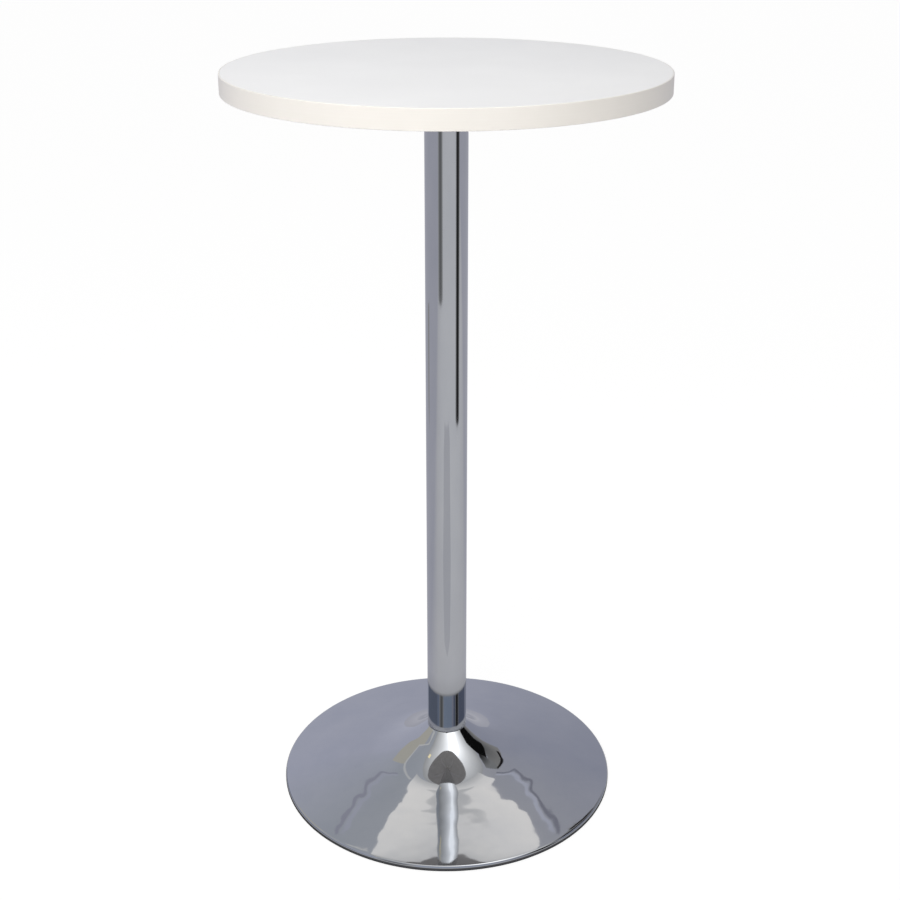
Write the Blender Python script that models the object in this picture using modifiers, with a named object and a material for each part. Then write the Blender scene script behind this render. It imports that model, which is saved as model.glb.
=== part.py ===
"""A bar-height bistro table: a round laminated top on a steel spider, a plain round column, and a pressed
trumpet-shaped base. One threaded tie rod through the column clamps the whole stack together.

Metres, +Z up. The origin is on the floor under the middle of the column.
"""

import math

import bmesh
import bpy
from mathutils import Matrix

MM = 0.001

# Overall
TABLE_HEIGHT = 1100 * MM
FIT_GAP = 0.3 * MM  # between pieces that touch, and round a shank in its hole
DRILL_OVERRUN = 1 * MM  # how far a cutter runs past the face it breaks through

# Tabletop
TOP_DIAMETER = 600 * MM
CORE_THICKNESS = 25 * MM
LAMINATE_THICKNESS = 0.6 * MM
BAND_THICKNESS = 2 * MM
BAND_CHAMFER = 0.8 * MM
BAND_SEAM = 0.4 * MM  # butt joint in the edge band, at the back
TOP_STEPS = 72

# Spider under the top
HUB_OVERHANG = 3 * MM  # how far the hub's shoulder stands out past the column
HUB_HEIGHT = 24 * MM
SPIGOT_LENGTH = 40 * MM
SPIGOT_CHAMFER = 2 * MM
HUB_RECESS_CLEARANCE = 3 * MM  # round the washer
ARM_COUNT = 4
ARM_REACH = 215 * MM  # from the table's axis to an arm's tip
ARM_WIDTH = 30 * MM
ARM_THICKNESS = 5 * MM
ARM_TIP_STEPS = 8
ARM_FIRST_ANGLE = math.radians(45)

# Wood screws, pan head
SCREW_RADII = (95 * MM, 195 * MM)  # distance of each arm's screws from the table's axis
SCREW_LENGTH = 20 * MM
SCREW_SHANK = 2.2 * MM
SCREW_POINT = 4 * MM
SCREW_HEAD_RADIUS = 4.2 * MM
SCREW_HEAD_HEIGHT = 2.6 * MM
SCREW_HEAD_EDGE = 1 * MM  # straight side of the head, above its crown
SCREW_CROWN_RADIUS = 3 * MM
SCREW_STEPS = 12

# Column
COLUMN_DIAMETER = 60 * MM
COLUMN_WALL = 1.5 * MM
COLUMN_FOOT_HEIGHT = 86.3 * MM  # the column's lower end, above the floor
COLUMN_STEPS = 48
COLUMN_EDGE = 0.8 * MM  # rounding of the tube's ends
PLUG_LENGTH = 25 * MM

# Tie rod and its nuts
ROD_RADIUS = 6 * MM
ROD_CHAMFER = 1 * MM
ROD_PAST_NUT = 2.5 * MM
ROD_END_COVER = 1.3 * MM  # how deep the rod's ends stay inside the hub and the ballast
ROD_CLEARANCE = 0.6 * MM
NUT_WALL = 3.5 * MM  # from the rod to a flat
NUT_HEIGHT = 10.8 * MM
WASHER_WIDTH = 6 * MM  # from the rod to the washer's edge
WASHER_THICKNESS = 2.5 * MM
CLAMP_WASHER_WIDTH = 16 * MM
CLAMP_WASHER_THICKNESS = 3 * MM
SPRING_WASHER_WIDTH = 4.5 * MM
SPRING_WASHER_THICKNESS = 2.5 * MM
SPRING_WASHER_SPLIT = 1.6 * MM
ROUND_STEPS = 24  # round fasteners and bores

# Pressed base cover
BASE_DIAMETER = 509 * MM
COVER_WALL = 1.5 * MM
COVER_LIP = 10 * MM  # how far the neck's lip reaches in past the column's outside
NECK_OVERHANG = 1.5 * MM  # how far the neck stands out past the column
NECK_CORNER = 1.5 * MM
BELL_SLOPE = math.radians(36.5)  # below the horizontal, going outwards
BELL_HOLLOW_SHARE = 0.64  # of the bell's cone, taken up by the hollow arc at its foot
FLANGE_SLOPE = math.radians(12.6)
RIM_TOP_HEIGHT = 6.5 * MM  # where the rim's upper rounding turns vertical
RIM_ROUNDING = 4 * MM
HEM_ROUNDING = 2.5 * MM
HEM_HEIGHT = 1 * MM  # underside of the rolled hem, above the floor
COVER_STEPS = 60

# Inside the base
SUPPORT_SETBACK = 5 * MM  # how far the support tube stands in from the column's outside
SUPPORT_WALL = 2.5 * MM
BALLAST_RIM_MARGIN = 90 * MM  # from the ballast's edge to the rim of the base
BALLAST_BOTTOM = 12 * MM
BALLAST_COVER_GAP = 5 * MM
BALLAST_BOSS_WIDTH = 14 * MM  # beyond the recess
BALLAST_BOSS_DRAFT = 4 * MM  # how much narrower the boss is at its top
BALLAST_SHOULDER_WIDTH = 44 * MM  # flat ring between the boss and the sloping top
BALLAST_WEB = 12 * MM
BALLAST_RECESS_CLEARANCE = 8 * MM  # round the clamp washer
RING_WIDTH = 6 * MM  # floor ring
RING_HEM_GAP = 0.8 * MM  # between the ring and the end of the rolled hem

# Worked out from the sizes above
TOP_RADIUS = TOP_DIAMETER / 2
BAND_HEIGHT = CORE_THICKNESS + 2 * (LAMINATE_THICKNESS + FIT_GAP)
TOP_UNDERSIDE = TABLE_HEIGHT - BAND_HEIGHT
CORE_BOTTOM = TOP_UNDERSIDE + LAMINATE_THICKNESS + FIT_GAP
BOARD_RADIUS = TOP_RADIUS - BAND_THICKNESS - FIT_GAP
SPIDER_TOP = TOP_UNDERSIDE - FIT_GAP
COLUMN_RADIUS = COLUMN_DIAMETER / 2
COLUMN_BORE = COLUMN_RADIUS - COLUMN_WALL
PLUG_RADIUS = COLUMN_BORE - FIT_GAP
ROD_HOLE = ROD_RADIUS + ROD_CLEARANCE
NUT_BORE = ROD_RADIUS + FIT_GAP
NUT_FLATS = 2 * (ROD_RADIUS + NUT_WALL)
WASHER_RADIUS = ROD_RADIUS + WASHER_WIDTH
CLAMP_WASHER_RADIUS = ROD_RADIUS + CLAMP_WASHER_WIDTH
SPRING_WASHER_RADIUS = ROD_RADIUS + SPRING_WASHER_WIDTH
NUT_AND_ROD_END = FIT_GAP + NUT_HEIGHT + ROD_PAST_NUT + ROD_END_COVER

HUB_RADIUS = COLUMN_RADIUS + HUB_OVERHANG
HUB_SHOULDER = SPIDER_TOP - HUB_HEIGHT
HUB_RECESS_RADIUS = WASHER_RADIUS + HUB_RECESS_CLEARANCE
HUB_RECESS_FLOOR = SPIDER_TOP - (FIT_GAP + WASHER_THICKNESS + NUT_AND_ROD_END)
COLUMN_TOP = HUB_SHOULDER - FIT_GAP

BASE_RADIUS = BASE_DIAMETER / 2
COVER_TOP = COLUMN_FOOT_HEIGHT - FIT_GAP
COVER_HOLE_RADIUS = COLUMN_RADIUS - COVER_LIP
NECK_RADIUS = COLUMN_RADIUS + NECK_OVERHANG
SUPPORT_TOP = COVER_TOP - COVER_WALL - FIT_GAP
SUPPORT_RADIUS = COLUMN_RADIUS - SUPPORT_SETBACK
LOW_WASHERS = FIT_GAP + CLAMP_WASHER_THICKNESS + FIT_GAP + SPRING_WASHER_THICKNESS
RECESS_CEILING = BALLAST_BOTTOM + LOW_WASHERS + NUT_AND_ROD_END
BALLAST_BOSS_TOP = RECESS_CEILING + BALLAST_WEB
BALLAST_RECESS_RADIUS = CLAMP_WASHER_RADIUS + BALLAST_RECESS_CLEARANCE
BALLAST_BOSS_RADIUS = BALLAST_RECESS_RADIUS + BALLAST_BOSS_WIDTH
BALLAST_SHOULDER_RADIUS = BALLAST_BOSS_RADIUS + BALLAST_SHOULDER_WIDTH
BALLAST_RADIUS = BASE_RADIUS - BALLAST_RIM_MARGIN


def new_material(name, colour, roughness, metallic):
    made = bpy.data.materials.new(name)
    made.use_nodes = True
    shader = made.node_tree.nodes["Principled BSDF"]
    shader.inputs["Base Color"].default_value = (*colour, 1)
    shader.inputs["Roughness"].default_value = roughness
    shader.inputs["Metallic"].default_value = metallic
    return made


def place(mesh, name, material):
    made = bpy.data.objects.new(name, mesh)
    mesh.materials.append(material)
    bpy.data.collections["bistro_table"].objects.link(made)
    return made


def place_cutter(mesh, name):
    made = bpy.data.objects.new(name, mesh)
    made.hide_render = True
    made.display_type = "WIRE"
    bpy.data.collections["cutters"].objects.link(made)
    return made


def arc(centre, radius, start, end, steps):
    """Points on an arc in the profile plane. Angles are in radians from +X towards +Z."""
    turned = [start + (end - start) * i / steps for i in range(steps + 1)]
    return [(centre[0] + radius * math.cos(a), centre[1] + radius * math.sin(a)) for a in turned]


def turn(name, profile, steps, material, closed=True):
    """A turned piece. The profile is (radius, height) points whose outer side runs from top to bottom."""
    mesh = bpy.data.meshes.new(name)
    form = bmesh.new()
    corners = [form.verts.new((r, 0, z)) for r, z in profile]
    for first, second in zip(corners, corners[1:]):
        form.edges.new((first, second))
    if closed:
        form.edges.new((corners[-1], corners[0]))
    form.to_mesh(mesh)
    form.free()
    made = place(mesh, name, material)
    screw = made.modifiers.new("Turn", "SCREW")
    screw.steps = steps
    screw.render_steps = steps
    screw.use_merge_vertices = True
    screw.merge_threshold = 0.05 * MM
    screw.use_smooth_shade = True
    return made


def turn_solid(name, profile, steps, material):
    """A turned piece with no bore: its profile starts and ends on the axis."""
    ends = [(0, profile[0][1]), *profile, (0, profile[-1][1])]
    return turn(name, ends, steps, material, closed=False)


def ring_profile(outer, inner, bottom, top):
    return [(inner, top), (outer, top), (outer, bottom), (inner, bottom)]


def prism_mesh(name, radius, bottom, top, sides, centre=(0, 0)):
    mesh = bpy.data.meshes.new(name)
    form = bmesh.new()
    depth = top - bottom
    bmesh.ops.create_cone(form, cap_ends=True, segments=sides, radius1=radius, radius2=radius, depth=depth)
    bmesh.ops.translate(form, vec=(*centre, (top + bottom) / 2), verts=form.verts)
    form.to_mesh(mesh)
    form.free()
    return mesh


def drill(name, radius, bottom, top, centre=(0, 0), sides=ROUND_STEPS):
    return place_cutter(prism_mesh(name, radius, bottom, top, sides, centre), name)


def saw(name, size, centre):
    mesh = bpy.data.meshes.new(name)
    form = bmesh.new()
    bmesh.ops.create_cube(form, size=1)
    bmesh.ops.scale(form, vec=size, verts=form.verts)
    bmesh.ops.translate(form, vec=centre, verts=form.verts)
    form.to_mesh(mesh)
    form.free()
    return place_cutter(mesh, name)


def cut(made, tool):
    boolean = made.modifiers.new(f"Cut {tool.name}", "BOOLEAN")
    boolean.operation = "DIFFERENCE"
    boolean.object = tool


def arm_angles():
    return [ARM_FIRST_ANGLE + i * math.tau / ARM_COUNT for i in range(ARM_COUNT)]


def screw_places():
    """The (x, y) of every wood screw, arm by arm."""
    return [(r * math.cos(a), r * math.sin(a)) for a in arm_angles() for r in SCREW_RADII]


def screw_tip():
    return SPIDER_TOP - ARM_THICKNESS + SCREW_LENGTH


def build_tabletop(finishes):
    core_top = CORE_BOTTOM + CORE_THICKNESS
    core_edge = [(BOARD_RADIUS, core_top), (BOARD_RADIUS, CORE_BOTTOM)]
    core = turn_solid("top_core", core_edge, TOP_STEPS, finishes["board"])
    face = [(BOARD_RADIUS, TABLE_HEIGHT), (BOARD_RADIUS, TABLE_HEIGHT - LAMINATE_THICKNESS)]
    turn_solid("top_laminate", face, TOP_STEPS, finishes["laminate"])
    back = [(BOARD_RADIUS, TOP_UNDERSIDE + LAMINATE_THICKNESS), (BOARD_RADIUS, TOP_UNDERSIDE)]
    backing = turn_solid("backing_laminate", back, TOP_STEPS, finishes["laminate"])
    for number, centre in enumerate(screw_places(), 1):
        pilot = drill(
            f"pilot_{number}",
            SCREW_SHANK + FIT_GAP,
            TOP_UNDERSIDE - DRILL_OVERRUN,
            screw_tip() + DRILL_OVERRUN,
            centre,
            SCREW_STEPS,
        )
        cut(core, pilot)
        cut(backing, pilot)


def build_edge_band(finishes):
    """The plastic strip round the board. Both its arrises are chamfered, and its ends meet at the back."""
    inner = TOP_RADIUS - BAND_THICKNESS
    outline = [
        (inner, TABLE_HEIGHT),
        (TOP_RADIUS - BAND_CHAMFER, TABLE_HEIGHT),
        (TOP_RADIUS, TABLE_HEIGHT - BAND_CHAMFER),
        (TOP_RADIUS, TOP_UNDERSIDE + BAND_CHAMFER),
        (TOP_RADIUS - BAND_CHAMFER, TOP_UNDERSIDE),
        (inner, TOP_UNDERSIDE),
    ]
    strip = turn("edge_band", outline, TOP_STEPS, finishes["band"])
    seam_middle = (0, TOP_RADIUS - BAND_THICKNESS / 2, TABLE_HEIGHT - BAND_HEIGHT / 2)
    cut(strip, saw("band_seam", (BAND_SEAM, 4 * BAND_THICKNESS, 2 * BAND_HEIGHT), seam_middle))


def build_spider_hub(finishes):
    """The boss that the arms are welded to. Its spigot plugs the column and its recess hides the top nut."""
    spigot_end = HUB_SHOULDER - SPIGOT_LENGTH
    outline = [
        (HUB_RECESS_RADIUS, SPIDER_TOP),
        (HUB_RADIUS, SPIDER_TOP),
        (HUB_RADIUS, HUB_SHOULDER),
        (PLUG_RADIUS, HUB_SHOULDER),
        (PLUG_RADIUS, spigot_end + SPIGOT_CHAMFER),
        (PLUG_RADIUS - SPIGOT_CHAMFER, spigot_end),
        (ROD_HOLE, spigot_end),
        (ROD_HOLE, HUB_RECESS_FLOOR),
        (HUB_RECESS_RADIUS, HUB_RECESS_FLOOR),
    ]
    turn("spider_hub", outline, COLUMN_STEPS, finishes["paint"])


def build_spider_arm(number, angle, finishes):
    """A flat bar that runs out from the hub to a half-round tip."""
    name = f"spider_arm_{number}"
    half = ARM_WIDTH / 2
    root = HUB_RADIUS + FIT_GAP
    quarter = math.pi / 2
    outline = [(root, half), (root, -half), *arc((ARM_REACH - half, 0), half, -quarter, quarter, ARM_TIP_STEPS)]
    form = bmesh.new()
    blank = form.faces.new([form.verts.new((x, y, SPIDER_TOP)) for x, y in outline])
    grown = bmesh.ops.extrude_face_region(form, geom=[blank])
    lower = [part for part in grown["geom"] if isinstance(part, bmesh.types.BMVert)]
    bmesh.ops.translate(form, vec=(0, 0, -ARM_THICKNESS), verts=lower)
    bmesh.ops.recalc_face_normals(form, faces=form.faces)
    bmesh.ops.rotate(form, matrix=Matrix.Rotation(angle, 3, "Z"), verts=form.verts)
    mesh = bpy.data.meshes.new(name)
    form.to_mesh(mesh)
    form.free()
    arm = place(mesh, name, finishes["paint"])
    for i, radius in enumerate(SCREW_RADII, 1):
        centre = (radius * math.cos(angle), radius * math.sin(angle))
        bottom = SPIDER_TOP - ARM_THICKNESS - DRILL_OVERRUN
        cut(arm, drill(f"{name}_hole_{i}", SCREW_SHANK + FIT_GAP, bottom, SPIDER_TOP + DRILL_OVERRUN, centre))


def build_wood_screw(number, centre, finishes):
    seat = SPIDER_TOP - ARM_THICKNESS - FIT_GAP
    head_bottom = seat - SCREW_HEAD_HEIGHT
    outline = [
        (0, screw_tip()),
        (SCREW_SHANK, screw_tip() - SCREW_POINT),
        (SCREW_SHANK, seat),
        (SCREW_HEAD_RADIUS, seat),
        (SCREW_HEAD_RADIUS, seat - SCREW_HEAD_EDGE),
        (SCREW_CROWN_RADIUS, head_bottom),
        (0, head_bottom),
    ]
    screw = turn(f"wood_screw_{number}", outline, SCREW_STEPS, finishes["zinc"], closed=False)
    screw.location = (*centre, 0)


def build_column(finishes):
    tube = [
        (COLUMN_BORE, COLUMN_TOP),
        (COLUMN_RADIUS - COLUMN_EDGE, COLUMN_TOP),
        (COLUMN_RADIUS, COLUMN_TOP - COLUMN_EDGE),
        (COLUMN_RADIUS, COLUMN_FOOT_HEIGHT + COLUMN_EDGE),
        (COLUMN_RADIUS - COLUMN_EDGE, COLUMN_FOOT_HEIGHT),
        (COLUMN_BORE, COLUMN_FOOT_HEIGHT),
    ]
    turn("column_tube", tube, COLUMN_STEPS, finishes["chrome"])
    plug = ring_profile(PLUG_RADIUS, ROD_HOLE, COLUMN_FOOT_HEIGHT, COLUMN_FOOT_HEIGHT + PLUG_LENGTH)
    turn("column_foot_plug", plug, COLUMN_STEPS, finishes["zinc"])


def build_nut(name, bottom, finishes):
    corner_radius = NUT_FLATS / 2 / math.cos(math.pi / 6)
    top = bottom + NUT_HEIGHT
    nut = place(prism_mesh(name, corner_radius, bottom, top, 6), name, finishes["zinc"])
    cut(nut, drill(f"{name}_bore", NUT_BORE, bottom - DRILL_OVERRUN, top + DRILL_OVERRUN))


def build_washer(name, radius, thickness, bottom, finishes):
    profile = ring_profile(radius, NUT_BORE, bottom, bottom + thickness)
    return turn(name, profile, ROUND_STEPS, finishes["zinc"])


def build_spring_washer(bottom, finishes):
    """A washer split on one side."""
    washer = build_washer("spring_washer", SPRING_WASHER_RADIUS, SPRING_WASHER_THICKNESS, bottom, finishes)
    wall = SPRING_WASHER_RADIUS - NUT_BORE
    middle = (0, NUT_BORE + wall / 2, bottom + SPRING_WASHER_THICKNESS / 2)
    cut(washer, saw("spring_split", (SPRING_WASHER_SPLIT, 2 * wall, 2 * SPRING_WASHER_THICKNESS), middle))


def build_tie_rod(finishes):
    """The rod, its nut and washer in the hub's recess, and its nut and two washers up inside the ballast."""
    top_washer_bottom = HUB_RECESS_FLOOR + FIT_GAP
    top_nut_bottom = top_washer_bottom + WASHER_THICKNESS + FIT_GAP
    build_washer("top_washer", WASHER_RADIUS, WASHER_THICKNESS, top_washer_bottom, finishes)
    build_nut("top_nut", top_nut_bottom, finishes)

    clamp_bottom = RECESS_CEILING - FIT_GAP - CLAMP_WASHER_THICKNESS
    spring_bottom = clamp_bottom - FIT_GAP - SPRING_WASHER_THICKNESS
    low_nut_bottom = spring_bottom - FIT_GAP - NUT_HEIGHT
    build_washer("clamp_washer", CLAMP_WASHER_RADIUS, CLAMP_WASHER_THICKNESS, clamp_bottom, finishes)
    build_spring_washer(spring_bottom, finishes)
    build_nut("bottom_nut", low_nut_bottom, finishes)

    rod_top = top_nut_bottom + NUT_HEIGHT + ROD_PAST_NUT
    rod_bottom = low_nut_bottom - ROD_PAST_NUT
    rod = [
        (ROD_RADIUS - ROD_CHAMFER, rod_top),
        (ROD_RADIUS, rod_top - ROD_CHAMFER),
        (ROD_RADIUS, rod_bottom + ROD_CHAMFER),
        (ROD_RADIUS - ROD_CHAMFER, rod_bottom),
    ]
    turn_solid("tie_rod", rod, ROUND_STEPS, finishes["zinc"])


def flange_height(radius):
    """Height of the cover's upper face on its conical flange."""
    tangent_radius = BASE_RADIUS - RIM_ROUNDING * (1 - math.sin(FLANGE_SLOPE))
    tangent_height = RIM_TOP_HEIGHT + RIM_ROUNDING * math.cos(FLANGE_SLOPE)
    return tangent_height + (tangent_radius - radius) * math.tan(FLANGE_SLOPE)


def cover_profile():
    """The cover's upper face from its centre hole outwards: lip, neck, bell, hollow, flange, rim and hem."""
    upright = math.pi / 2
    neck_centre = (NECK_RADIUS - NECK_CORNER, COVER_TOP - NECK_CORNER)
    neck = arc(neck_centre, NECK_CORNER, upright, upright - BELL_SLOPE, 2)

    # The bell's cone and the flange's cone would meet at a corner, and the hollow arc rounds it off.
    start_r, start_z = neck[-1]
    bell_fall = math.tan(BELL_SLOPE)
    corner_r = start_r + (start_z - flange_height(start_r)) / (bell_fall - math.tan(FLANGE_SLOPE))
    hollow_reach = BELL_HOLLOW_SHARE * (corner_r - start_r)
    hollow_r = corner_r - hollow_reach
    hollow_z = start_z - (hollow_r - start_r) * bell_fall
    hollow_radius = hollow_reach / math.cos(BELL_SLOPE) / math.tan((BELL_SLOPE - FLANGE_SLOPE) / 2)
    hollow_centre = (
        hollow_r + hollow_radius * math.sin(BELL_SLOPE),
        hollow_z + hollow_radius * math.cos(BELL_SLOPE),
    )
    hollow = arc(hollow_centre, hollow_radius, -upright - BELL_SLOPE, -upright - FLANGE_SLOPE, 8)

    rim = arc((BASE_RADIUS - RIM_ROUNDING, RIM_TOP_HEIGHT), RIM_ROUNDING, upright - FLANGE_SLOPE, 0, 3)
    hem_centre = (BASE_RADIUS - HEM_ROUNDING, HEM_HEIGHT + HEM_ROUNDING)
    hem = arc(hem_centre, HEM_ROUNDING, 0, -upright, 2)
    return [(COVER_HOLE_RADIUS, COVER_TOP), *neck, *hollow, *rim, *hem]


def build_base_cover(finishes):
    cover = turn("base_cover", cover_profile(), COVER_STEPS, finishes["chrome"], closed=False)
    wall = cover.modifiers.new("Wall", "SOLIDIFY")
    wall.thickness = COVER_WALL
    wall.offset = -1
    wall.use_even_offset = True


def build_support_tube(finishes):
    """Carries the column's load from the cover's lip down to the ballast."""
    bottom = BALLAST_BOSS_TOP + FIT_GAP
    profile = ring_profile(SUPPORT_RADIUS, SUPPORT_RADIUS - SUPPORT_WALL, bottom, SUPPORT_TOP)
    turn("support_tube", profile, COLUMN_STEPS, finishes["zinc"])


def build_ballast(finishes):
    """The weight: it hangs from the tie rod, its boss stands up in the bell and its top follows the flange."""

    def top_at(radius):
        return flange_height(radius) - COVER_WALL / math.cos(FLANGE_SLOPE) - BALLAST_COVER_GAP

    casting = [
        (ROD_HOLE, BALLAST_BOSS_TOP),
        (BALLAST_BOSS_RADIUS - BALLAST_BOSS_DRAFT, BALLAST_BOSS_TOP),
        (BALLAST_BOSS_RADIUS, top_at(BALLAST_SHOULDER_RADIUS)),
        (BALLAST_SHOULDER_RADIUS, top_at(BALLAST_SHOULDER_RADIUS)),
        (BALLAST_RADIUS, top_at(BALLAST_RADIUS)),
        (BALLAST_RADIUS, BALLAST_BOTTOM),
        (BALLAST_RECESS_RADIUS, BALLAST_BOTTOM),
        (BALLAST_RECESS_RADIUS, RECESS_CEILING),
        (ROD_HOLE, RECESS_CEILING),
    ]
    turn("ballast", casting, COVER_STEPS, finishes["iron"])


def build_floor_ring(finishes):
    """The soft ring inside the rim that the table stands on. It ends under the rim's rounding."""
    outer = BASE_RADIUS - HEM_ROUNDING - RING_HEM_GAP
    inside_rounding = RIM_ROUNDING - COVER_WALL
    reach = outer - (BASE_RADIUS - RIM_ROUNDING)
    top = RIM_TOP_HEIGHT + math.sqrt(inside_rounding**2 - reach**2) - FIT_GAP
    turn("floor_ring", ring_profile(outer, outer - RING_WIDTH, 0, top), COVER_STEPS, finishes["rubber"])


def make_finishes():
    return {
        "board": new_material("particleboard", (0.52, 0.40, 0.26), 0.9, 0),
        "laminate": new_material("white_laminate", (0.86, 0.85, 0.83), 0.35, 0),
        "band": new_material("edge_plastic", (0.84, 0.82, 0.77), 0.4, 0),
        "paint": new_material("grey_powder_coat", (0.40, 0.39, 0.37), 0.5, 0),
        "chrome": new_material("chrome", (0.72, 0.74, 0.78), 0.06, 1),
        "zinc": new_material("zinc_plate", (0.62, 0.63, 0.64), 0.35, 1),
        "iron": new_material("cast_iron", (0.10, 0.10, 0.11), 0.8, 0.6),
        "rubber": new_material("black_rubber", (0.02, 0.02, 0.02), 0.8, 0),
    }


def main():
    for leftover in list(bpy.data.objects):
        bpy.data.objects.remove(leftover)
    for name in ("bistro_table", "cutters"):
        bpy.context.scene.collection.children.link(bpy.data.collections.new(name))
    finishes = make_finishes()

    build_tabletop(finishes)
    build_edge_band(finishes)
    build_spider_hub(finishes)
    for number, angle in enumerate(arm_angles(), 1):
        build_spider_arm(number, angle, finishes)
    for number, centre in enumerate(screw_places(), 1):
        build_wood_screw(number, centre, finishes)
    build_column(finishes)
    build_tie_rod(finishes)
    build_base_cover(finishes)
    build_support_tube(finishes)
    build_ballast(finishes)
    build_floor_ring(finishes)


main()
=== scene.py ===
import math
import bmesh
import bpy
from mathutils import Matrix, Vector


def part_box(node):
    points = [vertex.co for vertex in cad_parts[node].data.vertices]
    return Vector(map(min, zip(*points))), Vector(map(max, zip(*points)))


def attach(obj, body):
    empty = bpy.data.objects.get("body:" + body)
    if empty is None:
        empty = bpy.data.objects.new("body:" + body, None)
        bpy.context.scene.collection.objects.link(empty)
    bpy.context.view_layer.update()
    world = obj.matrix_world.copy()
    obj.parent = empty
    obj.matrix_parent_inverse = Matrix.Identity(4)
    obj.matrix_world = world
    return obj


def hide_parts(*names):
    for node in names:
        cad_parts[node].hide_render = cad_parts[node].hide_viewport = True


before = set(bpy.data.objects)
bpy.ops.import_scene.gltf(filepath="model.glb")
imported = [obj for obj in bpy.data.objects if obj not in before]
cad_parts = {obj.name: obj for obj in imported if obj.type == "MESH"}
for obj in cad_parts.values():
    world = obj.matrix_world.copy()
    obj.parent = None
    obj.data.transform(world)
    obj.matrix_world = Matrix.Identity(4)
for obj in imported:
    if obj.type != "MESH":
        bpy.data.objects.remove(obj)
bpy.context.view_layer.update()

mm = 0.001
turn = math.tau


# small helpers
def rgb(hexText):
    # an sRGB hex colour as the linear colour that Blender works in
    parts = [int(hexText[i:i + 2], 16) / 255 for i in (0, 2, 4)]
    return [p / 12.92 if p <= 0.04045 else ((p + 0.055) / 1.055) ** 2.4 for p in parts] + [1.0]


def put(tree, kind, inputs=None, **settings):
    # one node: settings are its own properties, and an input takes a value or another node's socket
    node = tree.nodes.new(kind)
    for name, value in settings.items():
        setattr(node, name, value)
    for key, value in (inputs or {}).items():
        if isinstance(value, bpy.types.NodeSocket):
            tree.links.new(value, node.inputs[key])
        else:
            node.inputs[key].default_value = value
    return node


def calc(tree, operation, first, second=None):
    # one sum on values or sockets; gives its result's socket
    values = {0: first} if second is None else {0: first, 1: second}
    return put(tree, "ShaderNodeMath", values, operation=operation).outputs[0]


def ramp(tree, fac, stops):
    node = put(tree, "ShaderNodeValToRGB", {"Fac": fac})
    marks = node.color_ramp.elements
    while len(marks) < len(stops):
        marks.new(0.5)
    for mark, (at, colour) in zip(marks, stops):
        mark.position = at
        mark.color = colour if isinstance(colour, list) else rgb(colour)
    return node.outputs["Color"]


def newFinish(name, **constants):
    # a material with its Principled shader, whose constant sockets are set straight on it
    made = bpy.data.materials.new(name)
    made.use_nodes = True
    shader = made.node_tree.nodes["Principled BSDF"]
    for socket, value in constants.items():
        shader.inputs[socket.replace("_", " ")].default_value = value
    return made, made.node_tree, shader


def onPiece(tree, scale=(1, 1, 1), spin=(0, 0, 0)):
    # Object coordinates in metres, scaled: 1000 / size in mm gives one repeat per size
    where = put(tree, "ShaderNodeTexCoord").outputs["Object"]
    return put(tree, "ShaderNodeMapping",
               {"Vector": where, "Scale": scale, "Rotation": spin}).outputs["Vector"]


def roundTheAxis(tree, perRadius, perHeight):
    # rings round the table's axis: radius and height, each with its own pitch
    where = put(tree, "ShaderNodeTexCoord").outputs["Object"]
    split = put(tree, "ShaderNodeSeparateXYZ", {"Vector": where})
    flat = put(tree, "ShaderNodeCombineXYZ", {"X": split.outputs["X"], "Y": split.outputs["Y"]})
    radius = put(tree, "ShaderNodeVectorMath", {0: flat.outputs[0]}, operation="LENGTH").outputs["Value"]
    across = calc(tree, "MULTIPLY", radius, perRadius)
    up = calc(tree, "MULTIPLY", split.outputs["Z"], perHeight)
    return put(tree, "ShaderNodeCombineXYZ", {"X": across, "Y": up}).outputs[0]


def joinBumps(tree, shader, layers):
    # layers are (height socket, strength, depth in metres), from the coarsest to the finest
    normal = None
    for height, strength, depth in layers:
        inputs = {"Height": height, "Strength": strength, "Distance": depth}
        if normal is not None:
            inputs["Normal"] = normal
        normal = put(tree, "ShaderNodeBump", inputs).outputs["Normal"]
    tree.links.new(normal, shader.inputs["Normal"])


def noise(tree, where, size, detail, rough=0.5):
    # soft noise whose lumps are one size, in mm
    return put(tree, "ShaderNodeTexNoise", {"Vector": where, "Scale": 1000 / size, "Detail": detail,
                                            "Roughness": rough}).outputs["Fac"]


def cells(tree, where, size, **settings):
    # packed cells of one size, in mm
    return put(tree, "ShaderNodeTexVoronoi", {"Vector": where, "Scale": 1000 / size}, **settings)


def blend(tree, share, first, second):
    return put(tree, "ShaderNodeMix", {"Factor": share, 2: first, 3: second}, data_type="FLOAT").outputs[0]


def varyColour(tree, shader, pattern, stops):
    tree.links.new(ramp(tree, pattern, stops), shader.inputs["Base Color"])


def varyRoughness(tree, shader, pattern, span, low=0.0, high=1.0):
    # the roughness goes from the first value of the span to the second as the pattern goes from low to high
    rough = put(tree, "ShaderNodeMapRange", {"Value": pattern, "From Min": low, "From Max": high,
                                             "To Min": span[0], "To Max": span[1]})
    tree.links.new(rough.outputs["Result"], shader.inputs["Roughness"])


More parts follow.
